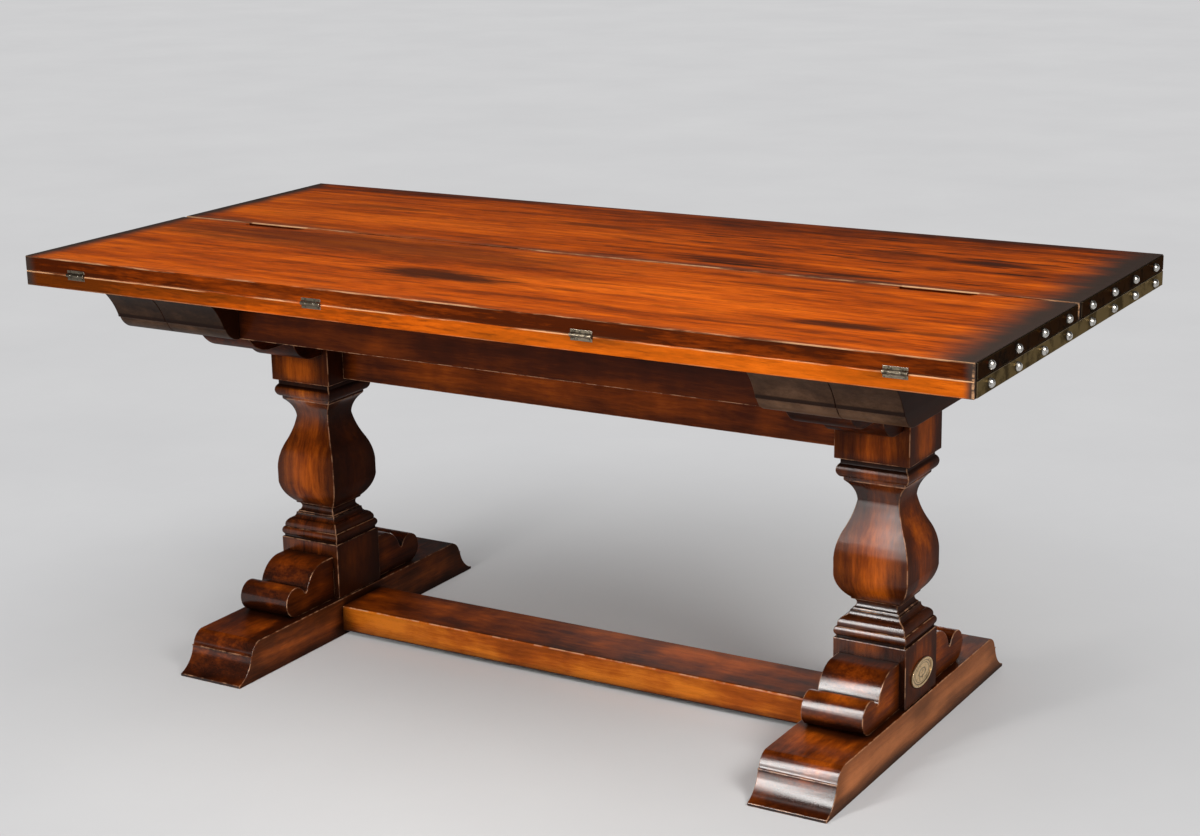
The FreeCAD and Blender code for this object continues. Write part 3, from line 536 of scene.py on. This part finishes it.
@dataclass
class Look:
    """How one kind of stand piece is stained, shaded, worn and polished."""

    axis: str  # the way its grain runs
    stops: tuple = STAND_STOPS  # its stain, from dark figure to light
    lift: float = 0.0  # lighter, or darker below 0
    figure: float = 1.0  # contrast of the figure
    top_tone_and_shade: float = 0.0  # lift of the faces that look up; on the stretcher it is painted shade under the top
    end_lift: float = 0.0  # lift of the faces that look to the front and the back
    left_lift: float = 0.0  # lift of the pieces on the left
    quirk: float = 0.0  # height of a small groove in a moulding: a painted shade line, with a painted highlight below
    scuffs_and_sheen: float = 0.0  # bared wood on the outer sides, with a painted sheen
    shade: float = 0.5  # dark stain along the arrises
    reach: float = 0.045  # how far in from the arris that goes
    shade_rings: tuple = ()  # painted shade rings: height, half width, fade and depth
    side_shade: float = 0.0  # painted shade on the sides
    inner_shade: float = 0.0  # more painted shade on the sides that look to the middle
    wear: float = 0.62  # bare wood on the rolled arrises
    worn: tuple = RUBBED  # its colour
    rolled: bool = False  # the long arrises are round in the solid itself
    polish: float = 0.5  # strength of the lacquer
    satin: tuple = ()  # duller zones: low, high, how dull, and more on the inner part


print("plain stand piece", Look("x").shade, "shade", Look("x").polish, "polish")

# %% [markdown]
# ## The trestles: which way a face looks
# On the real stand the outer sides are scuffed, with a painted sheen, and the fronts shine. The
# sides get painted shade, most of all those that look to the middle. Choosing faces by hand would
# do for a box, but not for a curved moulding. The direction of the surface, through a smooth ramp,
# gives each of these a mask with soft borders.

# %% Measures of a stand piece
GRAIN_ORDER = {"x": (0, 2, 1), "y": (1, 2, 0), "z": (2, 0, 1)}
END_GRAIN = 0.5
SIDE_FACING, UP_FACING = (0.55, 0.85), (0.74, 0.94)
MIDDLE_BLEND = (0.1, -0.1)
BLOTCH_WAVES = 11
POST_MIDDLE = sum(corner.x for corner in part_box("right_post")) / 2


class Timber:
    """A piece of the stand: its finish, its grain, and which way each point of it looks."""

    def __init__(self, name, axis):
        finish = self.finish = Finish(name)
        spot = self.spot = finish.axes()
        outward = self.outward = finish.facing()
        self.side = finish.ramp(abs(outward[0]), *SIDE_FACING)
        self.upward = finish.ramp(abs(outward[2]), *UP_FACING)
        self.end = 1 - self.side.at_least(self.upward)
        to_middle = outward[0] * (finish.ramp(spot[0], *MIDDLE_BLEND) * 2 - 1)
        self.inner = finish.ramp(to_middle, *SIDE_FACING)
        along, across, up = [spot[i] for i in GRAIN_ORDER[axis]]
        figure = grain(finish, (along, across, up * END_GRAIN))
        self.bands, self.streaks, self.lines, self.pores = figure
        self.blotches = self.mottle(BLOTCH_WAVES, 0.5)

    def mottle(self, waves, roughness=0.55):
        """Noise that is the same in all directions, in waves per metre."""
        return self.finish.noise(
            self.finish.point(*[place * waves for place in self.spot]), 3, roughness)


print("the posts stand", round(2000 * POST_MIDDLE), "mm apart")

# %% [markdown]
# ## The trestles: stain, and painted light
# The stain took unevenly: darker in the hard grain, in blotches, lighter where the piece was
# rubbed. As on the top, the figure picks a colour from a ramp, here with blotches added. Scuffs
# on the outer sides of the feet bare a paler, duller wood that also holds a painted sheen. Below
# the quirk of the members under the top a painted highlight lightens the wood, and on the
# stretcher the faces that look up are darkened as painted shade under the table top.

# %% Stain and painted light of a stand piece
FIGURE_MIDDLE, STAND_TONE = -1.29, 0.51
LEFT_BLEND = (0.2, -0.2)
QUIRK_RISE, QUIRK_HIGHLIGHT_LIFT = 0.004, 0.22
INNER_SPARED = 0.8


def stand_stain_and_light(timber, look):
    finish, (x, _, z) = timber.finish, timber.spot
    figure = timber.bands * 0.92 + timber.streaks * 0.58 + timber.lines * 0.36
    figure = figure + timber.blotches * 0.72 + FIGURE_MIDDLE
    tone = figure * look.figure + (STAND_TONE + look.lift)
    if look.left_lift:
        tone = tone + finish.ramp(x, *LEFT_BLEND) * look.left_lift
    # Painted highlight: below the quirk the wood is lighter, as if the moulding's nose caught the
    # light.
    if look.quirk:
        tone = tone + finish.ramp(z, look.quirk, look.quirk - QUIRK_RISE) * QUIRK_HIGHLIGHT_LIFT
    # Faces that look up are darker; on the stretcher this is painted shade under the table top.
    tone = tone + timber.upward * look.top_tone_and_shade + timber.end * look.end_lift
    colour = finish.gradient(tone, look.stops)
    # Scuffs on the outer sides, paler and pinker to hold a painted sheen as well.
    if look.scuffs_and_sheen:
        bared_and_sheen = timber.blotches * 0.7 + timber.streaks * 0.8 + 0.1
        bared_and_sheen = bared_and_sheen * (timber.side - timber.inner * INNER_SPARED) * look.scuffs_and_sheen
        colour = finish.mix(bared_and_sheen, colour, SCUFFED_AND_SHEEN)
    return colour


# %% [markdown]
# ## The trestles: hand shading and painted shade
# The maker shaded the stand: light in the middle of a face, dark along its arrises. Painting that
# on each piece would be slow, so an ambient occlusion node turned inward finds the arrises. The
# same node looking outward finds the grooves, hollows and joints and darkens them as painted
# shade. Rings at given heights are painted shade in the grooves and necks of the posts, darker
# than a hollow alone would be. The sides get painted shade too, most of all those toward the
# middle, and the members under the top get a painted shade line with a painted highlight under it.

# %% Shading of a stand piece
ARRIS_SHADE, ARRIS_WANDER = (0.97, 0.58), 0.25
HOLLOW_REACH, HOLLOW_SHADE, HOLLOW_WANDER, HOLLOW_SHADE_DEPTH = 0.045, (0.90, 0.48), 0.2, 0.92
QUIRK_SHADE_LINE, QUIRK_SHADE_DEPTH = (0.005, 0.002), 0.85
RING_WANDER = 0.6
STAND_PORES = 0.30


def stand_shade(timber, look, colour):
    finish, height = timber.finish, timber.spot[2]
    wander = timber.streaks - 0.5
    arris = finish.openness(look.reach, inside=True) + wander * ARRIS_WANDER
    colour = finish.mix(finish.ramp(arris, *ARRIS_SHADE) * look.shade, colour, SOOT_AND_SHADE)
    # Painted shade: outward occlusion darkens grooves, hollows and the joints between pieces.
    hollow = finish.openness(HOLLOW_REACH) + wander * HOLLOW_WANDER
    colour = finish.mix(finish.ramp(hollow, *HOLLOW_SHADE) * HOLLOW_SHADE_DEPTH, colour, SOOT_AND_SHADE)
    # Painted shade: a dark line at the quirk, as if in the shadow of the moulding above it.
    if look.quirk:
        line = finish.ramp(abs(height - look.quirk), *QUIRK_SHADE_LINE) * timber.end
        colour = finish.mix(line * QUIRK_SHADE_DEPTH, colour, SOOT_AND_SHADE)
    # Painted shade rings, darker than a hollow alone, in the grooves and necks of the posts.
    for middle, half, fade, depth in look.shade_rings:
        away = abs(height - middle) + wander * (fade * RING_WANDER)
        ring = finish.ramp(away, half + fade, half - fade)
        colour = finish.mix(ring * depth, colour, SOOT_AND_SHADE)
    # Painted shade on the sides, and more on the sides that look to the middle.
    if look.side_shade or look.inner_shade:
        side_shaded = timber.side * look.side_shade + timber.inner * look.inner_shade
        colour = finish.mix(side_shaded, colour, SIDE_SHADE_COLOUR)
    return finish.mix(timber.pores * STAND_PORES, colour, SOOT_AND_SHADE)


# %% [markdown]
# ## The trestles: wear and lacquer
# Hands and feet have rubbed the very edges pale, in patches, and the fronts of the mouldings
# carry a glossy lacquer that is dull on the sides and the tops. The gloss could be a lower
# roughness all over, but then the wood would look wet. A coat with a weight of its own lies over
# the wood like lacquer and can fade out.

# %% Wear and lacquer of a stand piece
BARE_WAVES, BARE_RISE, BARE_ALWAYS = 55, (0.40, 0.60), 0.06
ROUND_ARRIS = (0.42, 0.64)
SIDE_DULL, TOP_DULL = 0.94, 0.86
ZONE_BLEND = 0.015
LEAN_FADE = (POST_MIDDLE + 0.050, POST_MIDDLE - 0.020)


def stand_wear(timber, look, colour):
    finish = timber.finish
    bare = (finish.ramp(timber.mottle(BARE_WAVES), *BARE_RISE) + BARE_ALWAYS) * look.wear
    if look.rolled:
        slanted = abs(timber.outward[1]).at_most(timber.outward[2])
        bare = bare * finish.ramp(slanted, *ROUND_ARRIS)
    return finish.mix(bare, colour, look.worn)


def stand_lacquer(timber, look):
    """The weight of the lacquer coat."""
    finish, (x, _, z) = timber.finish, timber.spot
    lacquer = (1 - timber.side * SIDE_DULL) * (1 - timber.upward * TOP_DULL) * look.polish
    for low, high, dulled, lean in look.satin:
        zone = finish.ramp(z, low - ZONE_BLEND, low + ZONE_BLEND)
        zone = zone * finish.ramp(z, high + ZONE_BLEND, high - ZONE_BLEND)
        if lean:
            dulled = finish.ramp(abs(x), *LEAN_FADE) * lean + dulled
        lacquer = lacquer * (1 - zone * dulled)
    return lacquer


# %% All coats of a stand piece
def stand_finish(name, look, rubbed):
    timber = Timber(name, look.axis)
    finish = timber.finish
    colour = stand_shade(timber, look, stand_stain_and_light(timber, look))
    if rubbed or look.rolled:
        colour = stand_wear(timber, look, colour)
    relief = timber.lines * 0.5 + timber.streaks * 0.4 - timber.pores * 0.6
    return finish.close(finish.surface({
        "Base Color": colour,
        "Roughness": 0.34 + timber.streaks * 0.2,
        "Specular IOR Level": 0.02,
        "Coat Weight": stand_lacquer(timber, look),
        "Coat Roughness": 0.19,
        "Normal": finish.bump(relief, 0.10, GRAIN_DEPTH),
    }))


# %% [markdown]
# ## The trestles: kinds of piece
# A name's last word says what kind of piece it is. Every kind gets two finishes: one for its
# faces, and one for the rolled arrises that the next step makes. The stretcher's long arrises are
# round in the solid itself, so its first finish finds them by their slant.

# %% Finish the kinds
QUIRK_HEIGHT = 0.676
# Painted shade rings on the posts: the crown groove, the plinth groove, and the two necks.
POST_SHADE_RINGS = (
    (0.4928, 0.0063, 0.0020, 0.95),
    (0.1860, 0.0030, 0.0020, 0.95),
    (0.4420, 0.0200, 0.0220, 0.66),
    (0.2370, 0.0200, 0.0260, 0.84),
)
BELLY, CROWN, BLOCK = (0.25, 0.42, 0.44, 0.40), (0.475, 0.51, 0.85, 0.0), (0.505, 0.70, 0.92, 0.0)
# The members under the top: smoked stain with a painted sheen, painted shade on their sides and at
# the quirk, and a painted highlight under the quirk.
SMOKED_AND_SHADED = Look(
    "y", stops=SMOKED_SHEEN_STOPS, lift=0.05, left_lift=-0.42, quirk=QUIRK_HEIGHT, shade=0.30,
    side_shade=0.85, wear=0.15, worn=SOOT_AND_SHADE, polish=0.14)
STAND_KINDS = {
    "post": Look(
        "z", lift=0.06, shade=0.82, reach=0.066, shade_rings=POST_SHADE_RINGS, side_shade=0.28, inner_shade=0.52,
        wear=0.48, polish=0.90, satin=(BELLY, CROWN, BLOCK)),
    "foot": Look(
        "y", lift=-0.03, top_tone_and_shade=-0.08, end_lift=-0.12, scuffs_and_sheen=0.8, wear=0.50, polish=1.0),
    "upper_bracket": Look("y", lift=-0.16, shade=0.60, wear=0.15, polish=0.10),
    "bracket": Look("y", lift=0.03, end_lift=-0.16, shade=0.60, inner_shade=0.35, polish=1.0),
    "stretcher": Look(
        "x", lift=0.33, figure=0.90, top_tone_and_shade=-0.34, shade=0.45, wear=0.90, rolled=True,
        polish=0.30),
    "spine_beam": Look("x", lift=-0.05, figure=0.7, polish=0.12),
    "apron": Look("x", lift=-0.15, figure=0.6, shade=0.40, polish=0.10),
    "bearer": SMOKED_AND_SHADED,
    "loper": SMOKED_AND_SHADED,
    "rail": SMOKED_AND_SHADED,
}
stand_finishes = {
    kind: (stand_finish(kind + "_lacquer", look, False), stand_finish(kind + "_rubbed", look, True))
    for kind, look in STAND_KINDS.items()
}

# %% [markdown]
# ## Easing the arrises
# A sawn solid has knife edges that no real table has, and an edge without a radius never catches
# the light. A bevel modifier could round them, but it would also round the inside corners. Here
# the solid is copied, its flat triangles are joined, and only the outward corners are rolled
# over. The new strips take the second finish, so they can be paler than the faces.

# %% Roll the arrises
WELD = 2e-6
FLAT, OUTWARD, SHARP = math.radians(0.6), math.radians(28), math.radians(46)
ROLL_SEGMENTS, ROLL_PROFILE = 2, 0.5


def rolled_mesh(node, width):
    """The mesh of a solid with its outward corners rounded. The new strips have index 1."""
    work = bmesh.new()
    work.from_mesh(nodes[node].data)
    bmesh.ops.remove_doubles(work, verts=work.verts, dist=WELD)
    bmesh.ops.dissolve_limit(work, angle_limit=FLAT, verts=work.verts, edges=work.edges)
    corners = [
        edge for edge in work.edges
        if len(edge.link_faces) == 2 and edge.is_convex and edge.calc_face_angle(0) > OUTWARD
    ]
    for face in work.faces:
        face.material_index = 0
    bmesh.ops.bevel(
        work, geom=corners, offset=width, offset_type="OFFSET", segments=ROLL_SEGMENTS,
        profile=ROLL_PROFILE, affect="EDGES", clamp_overlap=False, material=1)
    for face in work.faces:
        face.smooth = True
    mesh = bpy.data.meshes.new(node + "_eased")
    work.to_mesh(mesh)
    work.free()
    return mesh


# %% Stand in for a solid
def eased(node, width, materials):
    """A copy of a solid with eased arrises. It stands for the solid."""
    mesh = rolled_mesh(node, width)
    for material in materials:
        mesh.materials.append(material)
    mesh.set_sharp_from_angle(angle=SHARP)
    piece = bpy.data.objects.new(node + "_eased", mesh)
    scene.collection.objects.link(piece)
    evenly = piece.modifiers.new("even shading", "WEIGHTED_NORMAL")
    evenly.keep_sharp = True
    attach(piece, nodes[node]["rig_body"])
    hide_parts(node)
    return piece


# %% Ease the stand
WOOD_ROUND = 0.0014
eased_pieces = []
for node in slot_of:
    kind = next((word for word in STAND_KINDS if node.endswith(word)), None)
    if kind:
        eased_pieces.append(eased(node, WOOD_ROUND, stand_finishes[kind]))
coat("loper_stop_pins", stand_finishes["post"][0])
face_count = sum(len(piece.data.polygons) for piece in eased_pieces)
print(len(eased_pieces), "stand pieces with", face_count, "faces")

# %% [markdown]
# ## Metalwork: one recipe
# The end straps, the studs, the hinges and the plaque are old metal: bright where it is handled,
# dull in clouds, dirty in its corners. A flat metal with one roughness would look new. Metal
# shows mostly what it reflects, so the colours are simple, and clouds of noise change the
# roughness. The oval plaque could be engraved in its mesh, but its rings are finer than any
# facet, so they are cut with a bump and filled with grime.

# %% Engraved rings
RING_SHARP = 0.4


def engraved_rings(finish, spot, node, rings):
    """Oval lines on a plate that stands upright and faces along X: 1 in a line, 0 beside it."""
    low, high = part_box(node)
    across = (spot[1] - (low.y + high.y) / 2) / ((high.y - low.y) / 2)
    up = (spot[2] - (low.z + high.z) / 2) / ((high.z - low.z) / 2)
    radius = (across * across + up * up).root()
    lines = 0.0
    for place, half_width in rings:
        lines = lines + finish.ramp(abs(radius - place), half_width, half_width * RING_SHARP)
    return lines


# %% Recipe for metal
WHITE = paint(1.0, 1.0, 1.0)
GRIME = paint(0.012, 0.008, 0.005)
CLOUD_SCALE, SPECK_SCALE, SPECK_SHARE = 130, 900, 0.3
DULL_START, DULL_PATINA, DULL_SPREAD, DULL_ROUGHNESS = 0.62, 0.3, 0.18, 0.2
GRIME_REACH, GRIME_RISE, GRIME_DEPTH, GRIME_MATT = 0.006, (0.85, 0.35), 0.8, 0.2
DENT_DEPTH, RING_CUT = 0.0008, 2


def metal_finish(
        name, tone, dull_tone, roughness, patina, dents, scale=CLOUD_SCALE, rim=WHITE, rings=()):
    """A metal with clouds of dull patina, grime in its corners and small dents."""
    finish = Finish(name)
    spot = finish.axes()
    place = finish.point(*spot)
    cloud = finish.noise(place, 4, 0.6, scale)
    specks = finish.noise(place, 2, 0.5, SPECK_SCALE)
    start = DULL_START - patina * DULL_PATINA
    dull = finish.ramp(cloud + (specks - 0.5) * SPECK_SHARE, start, start + DULL_SPREAD)
    grime = finish.ramp(finish.openness(GRIME_REACH), *GRIME_RISE)
    height = cloud + specks * SPECK_SHARE
    if rings:
        lines = engraved_rings(finish, spot, *rings)
        grime = grime.at_least(lines * GRIME_DEPTH)
        height = height - lines * RING_CUT
    colour = finish.mix(dull, tone, dull_tone)
    return finish.close(finish.surface({
        "Base Color": finish.mix(grime * GRIME_DEPTH, colour, GRIME),
        "Metallic": 1.0 - grime * GRIME_MATT,
        "Specular Tint": rim,
        "Roughness": roughness + dull * DULL_ROUGHNESS,
        "Normal": finish.bump(height, dents, DENT_DEPTH),
    }))


# %% [markdown]
# ## Metalwork: the kinds
# The straps on the leaves are nearly black and those on the fixed board are olive bronze. The
# studs are bright and hammered, the hinges are aged nickel, and the plaque is brass with plain
# rings. A second, brighter finish goes on the rubbed edges of each.

# %% Metal finishes
DARK_RIM = paint(0.40, 0.35, 0.30)
WARM_RIM = paint(0.60, 0.52, 0.42)
PLAQUE_RINGS = ("plinth_plaque", ((0.80, 0.055), (0.66, 0.035), (0.30, 0.06)))
METAL_LOOKS = {
    "strap_bronze": {
        "tone": paint(0.150, 0.114, 0.062), "dull_tone": paint(0.048, 0.036, 0.022),
        "roughness": 0.34, "patina": 0.55, "dents": 0.08, "scale": 28, "rim": WARM_RIM},
    "strap_dark_bronze": {
        "tone": paint(0.042, 0.034, 0.026), "dull_tone": paint(0.016, 0.013, 0.010),
        "roughness": 0.36, "patina": 0.5, "dents": 0.08, "scale": 28, "rim": DARK_RIM},
    "strap_bronze_rubbed": {
        "tone": paint(0.24, 0.165, 0.085), "dull_tone": paint(0.060, 0.042, 0.022),
        "roughness": 0.32, "patina": 0.5, "dents": 0.1, "scale": 90},
    "strap_dark_bronze_rubbed": {
        "tone": paint(0.120, 0.086, 0.052), "dull_tone": paint(0.034, 0.025, 0.016),
        "roughness": 0.34, "patina": 0.5, "dents": 0.1, "scale": 90, "rim": DARK_RIM},
    "stud_silver": {
        "tone": paint(0.62, 0.60, 0.56), "dull_tone": paint(0.20, 0.185, 0.16),
        "roughness": 0.25, "patina": 0.50, "dents": 0.32, "scale": 260},
    "hinge_nickel": {
        "tone": paint(0.17, 0.14, 0.10), "dull_tone": paint(0.05, 0.042, 0.03),
        "roughness": 0.30, "patina": 0.5, "dents": 0.2},
    "hinge_nickel_rubbed": {
        "tone": paint(0.52, 0.46, 0.37), "dull_tone": paint(0.16, 0.14, 0.10),
        "roughness": 0.26, "patina": 0.4, "dents": 0.1},
    "screw_steel": {
        "tone": paint(0.52, 0.51, 0.49), "dull_tone": paint(0.30, 0.29, 0.27),
        "roughness": 0.3, "patina": 0.3, "dents": 0.1},
    "plaque_brass": {
        "tone": paint(0.80, 0.56, 0.29), "dull_tone": paint(0.40, 0.26, 0.12),
        "roughness": 0.34, "patina": 0.35, "dents": 0.10, "scale": 170, "rings": PLAQUE_RINGS},
    "plaque_brass_rubbed": {
        "tone": paint(0.90, 0.68, 0.40), "dull_tone": paint(0.66, 0.46, 0.23),
        "roughness": 0.26, "patina": 0.3, "dents": 0.05, "scale": 45},
}
metals = {name: metal_finish(name, **look) for name, look in METAL_LOOKS.items()}

# %% [markdown]
# The straps, the hinge plates and the plaque get eased arrises like the wood, only finer. The
# studs, pins and screws are round already, so they keep their solids. The record's slots say
# which metal a piece has. Picking each piece by hand would leave some out.

# %% Finish the metal pieces
SLOT_METALS = {
    "strap_metal": ("strap_dark_bronze", "strap_dark_bronze_rubbed"),
    "stud_metal": ("stud_silver", "stud_silver"),
    "hinge_metal": ("hinge_nickel", "hinge_nickel_rubbed"),
    "screw_steel": ("screw_steel", "screw_steel"),
    "plaque_brass": ("plaque_brass", "plaque_brass_rubbed"),
}
FIXED_STRAP = ("strap_bronze", "strap_bronze_rubbed")
METAL_ROUND = {"strap": 0.0006, "plates": 0.0004, "plaque": 0.0005}
metal_nodes = [node for node in slot_of if slot_of[node] in SLOT_METALS]
for node in metal_nodes:
    names = SLOT_METALS[slot_of[node]]
    if node.startswith("fixed_top") and slot_of[node] == "strap_metal":
        names = FIXED_STRAP
    width = next((size for word, size in METAL_ROUND.items() if node.endswith(word)), None)
    if width:
        eased(node, width, [metals[name] for name in names])
    else:
        coat(node, metals[names[0]])
print(len(metal_nodes), "metal pieces")

# %% [markdown]
# ## The studio: floor finish
# A photographer's floor is one sheet of pale paper that curves up behind the object. Close by it
# is lit by the lamps and takes the shadow. Lighting it evenly far off would take many lamps,
# which would also fall on the table. So it glows there at an even pale grey, but only for rays
# that look at it or are mirrored by the object.

# %% Floor finish
NEAR_PALE, NEAR_WHITE = paint(0.55, 0.55, 0.555), paint(0.61, 0.61, 0.61)
FAR_PALE, FAR_WHITE = paint(0.58, 0.58, 0.59), paint(0.66, 0.66, 0.665)
GLOW_RISE = (0.15, 1.6)
paper = Finish("studio_floor")
paper_point = paper.point(*paper.axes())
mottle = paper.noise(paper_point, 5, 0.6, 1.3)
lit_paper = paper.surface({
    "Base Color": paper.mix(mottle, NEAR_PALE, NEAR_WHITE), "Roughness": 0.8,
    "Specular IOR Level": 0.2})
far_paper = paper.node("Emission", {}, {"Color": paper.mix(mottle, FAR_PALE, FAR_WHITE)})
distance = paper.node("VectorMath", {"operation": "LENGTH"}, {0: paper_point}, "Value")
seen, mirrored, passed = [
    paper.node("LightPath", output="Is %s Ray" % kind)
    for kind in ("Camera", "Glossy", "Transmission")]
glow = paper.ramp(distance, *GLOW_RISE) * seen.at_least(mirrored).at_least(passed)
floor_material = paper.close(paper.node("MixShader", {}, {0: glow, 1: lit_paper, 2: far_paper}))

# %% [markdown]
# ## The studio: floor shape
# The paper could be a bent plane, but the table is looked at from all sides. A dish of rings,
# flat for a long way and then rising, shows the same paper everywhere.

# %% Floor
FLOOR_RINGS = [(3, 0.0), (24, 0.0), (27, 0.3), (29.5, 1.3), (31.5, 3.0), (33, 5.4), (34, 8.0)]
FLOOR_SPOKES = 96
floor_points, floor_faces = [], [list(range(FLOOR_SPOKES))]
for radius, height in FLOOR_RINGS:
    for spoke in range(FLOOR_SPOKES):
        angle = math.tau * spoke / FLOOR_SPOKES
        floor_points.append((radius * math.cos(angle), radius * math.sin(angle), height))
for first in range(0, FLOOR_SPOKES * (len(FLOOR_RINGS) - 1), FLOOR_SPOKES):
    for spoke in range(FLOOR_SPOKES):
        here, beside = first + spoke, first + (spoke + 1) % FLOOR_SPOKES
        floor_faces.append((here, here + FLOOR_SPOKES, beside + FLOOR_SPOKES, beside))
floor_mesh = bpy.data.meshes.new("floor")
floor_mesh.from_pydata(floor_points, [], floor_faces)
for face in floor_mesh.polygons:
    face.use_smooth = True
floor_mesh.materials.append(floor_material)
floor = bpy.data.objects.new("floor", floor_mesh)
scene.collection.objects.link(floor)
print("floor of", len(floor_faces), "faces")

# %% [markdown]
# ## The studio: lamps
# A tall, narrow softbox in front draws the bright lines along the mouldings of the near trestle,
# and a small low one under it reaches the foot. A softbox on the right lights the end with the
# studs, a wide one overhead lights the top, and a weak one on the left opens the shadows. The
# lamp behind the table stands lower than the top, because a higher one would be mirrored in the
# lacquer. One large lamp would be simpler, but would leave the mouldings flat.

# %% Sky
SKY_TINT, SKY_STRENGTH = paint(0.95, 0.97, 1.0), 0.05
world = bpy.data.worlds.new("studio")
scene.world = world
world.use_nodes = True
sky = world.node_tree.nodes["Background"]
sky.inputs["Color"].default_value = SKY_TINT
sky.inputs["Strength"].default_value = SKY_STRENGTH
print("sky of strength", SKY_STRENGTH)

# %% Lights
LAMP_TINT = (1.0, 0.98, 0.96)
# Where a lamp stands, where it points, its width and height in metres, and its power in watts.
LAMPS = {
    "front_strip": ((-0.40, -2.0, 1.62), (0.25, -0.3, 0.2), (0.25, 1.75), 41),
    "low_strip": ((-0.40, -2.5, 0.75), (0.35, -0.2, 0.4), (0.40, 0.9), 8),
    "right_softbox": ((2.3, -1.1, 1.9), (0.3, -0.1, 0.3), (1.0, 1.0), 60),
    "overhead_softbox": ((-0.5, 0.2, 3.2), (-0.2, 0.0, 0.7), (2.6, 2.2), 32),
    "left_fill": ((-1.2, -4.0, 1.5), (0.0, 0.0, 0.4), (2.0, 1.4), 4),
    "back_fill": ((-0.9, 3.2, 0.45), (0.0, 0.0, 0.4), (2.0, 0.6), 24),
}
for name, (stand, target, spread, power) in LAMPS.items():
    lamp = bpy.data.lights.new(name, "AREA")
    lamp.shape = "RECTANGLE"
    lamp.size, lamp.size_y = spread
    lamp.energy = power
    lamp.color = LAMP_TINT
    holder = bpy.data.objects.new(name, lamp)
    holder.location = stand
    aim = Vector(target) - Vector(stand)
    holder.rotation_euler = aim.to_track_quat("-Z", "Y").to_euler()
    holder.visible_camera = False
    scene.collection.objects.link(holder)
    print(name, power, "W from", round(aim.length, 2), "m")

# %% [markdown]
# ## The camera
# It stands at a corner of the table, a little above the top, and leans by one degree, as a
# hand-held camera does. A tracking constraint would aim it, but could not lean it. So the three
# directions of its view are worked out from its angles and set as a matrix.

# %% Camera
IMAGE_WIDTH = 1200
FOCAL_PIXELS = 2249.11
SENSOR = 36.0
AZIMUTH, ELEVATION, ROLL = (math.radians(a) for a in (31.0387, 15.2982, -1.1339))
TARGET = Vector((0.03237, 0.0, 0.49246))
DISTANCE = 4.04186

backward = Vector((
    math.sin(AZIMUTH) * math.cos(ELEVATION),
    -math.cos(AZIMUTH) * math.cos(ELEVATION),
    math.sin(ELEVATION)))
level_right = (-backward).cross(Vector((0, 0, 1))).normalized()
level_up = level_right.cross(-backward)
right = level_right * math.cos(ROLL) + level_up * math.sin(ROLL)
upward = level_up * math.cos(ROLL) - level_right * math.sin(ROLL)
lens = bpy.data.cameras.new("camera")
lens.sensor_fit = "HORIZONTAL"
lens.sensor_width = SENSOR
lens.lens = SENSOR * FOCAL_PIXELS / IMAGE_WIDTH
camera = bpy.data.objects.new("camera", lens)
turn = Matrix((right, upward, backward)).transposed().to_4x4()
camera.matrix_world = Matrix.Translation(TARGET + backward * DISTANCE) @ turn
scene.collection.objects.link(camera)
scene.camera = camera
scene.view_settings.view_transform = "Standard"
print("lens of", round(lens.lens, 1), "mm at", DISTANCE, "m")
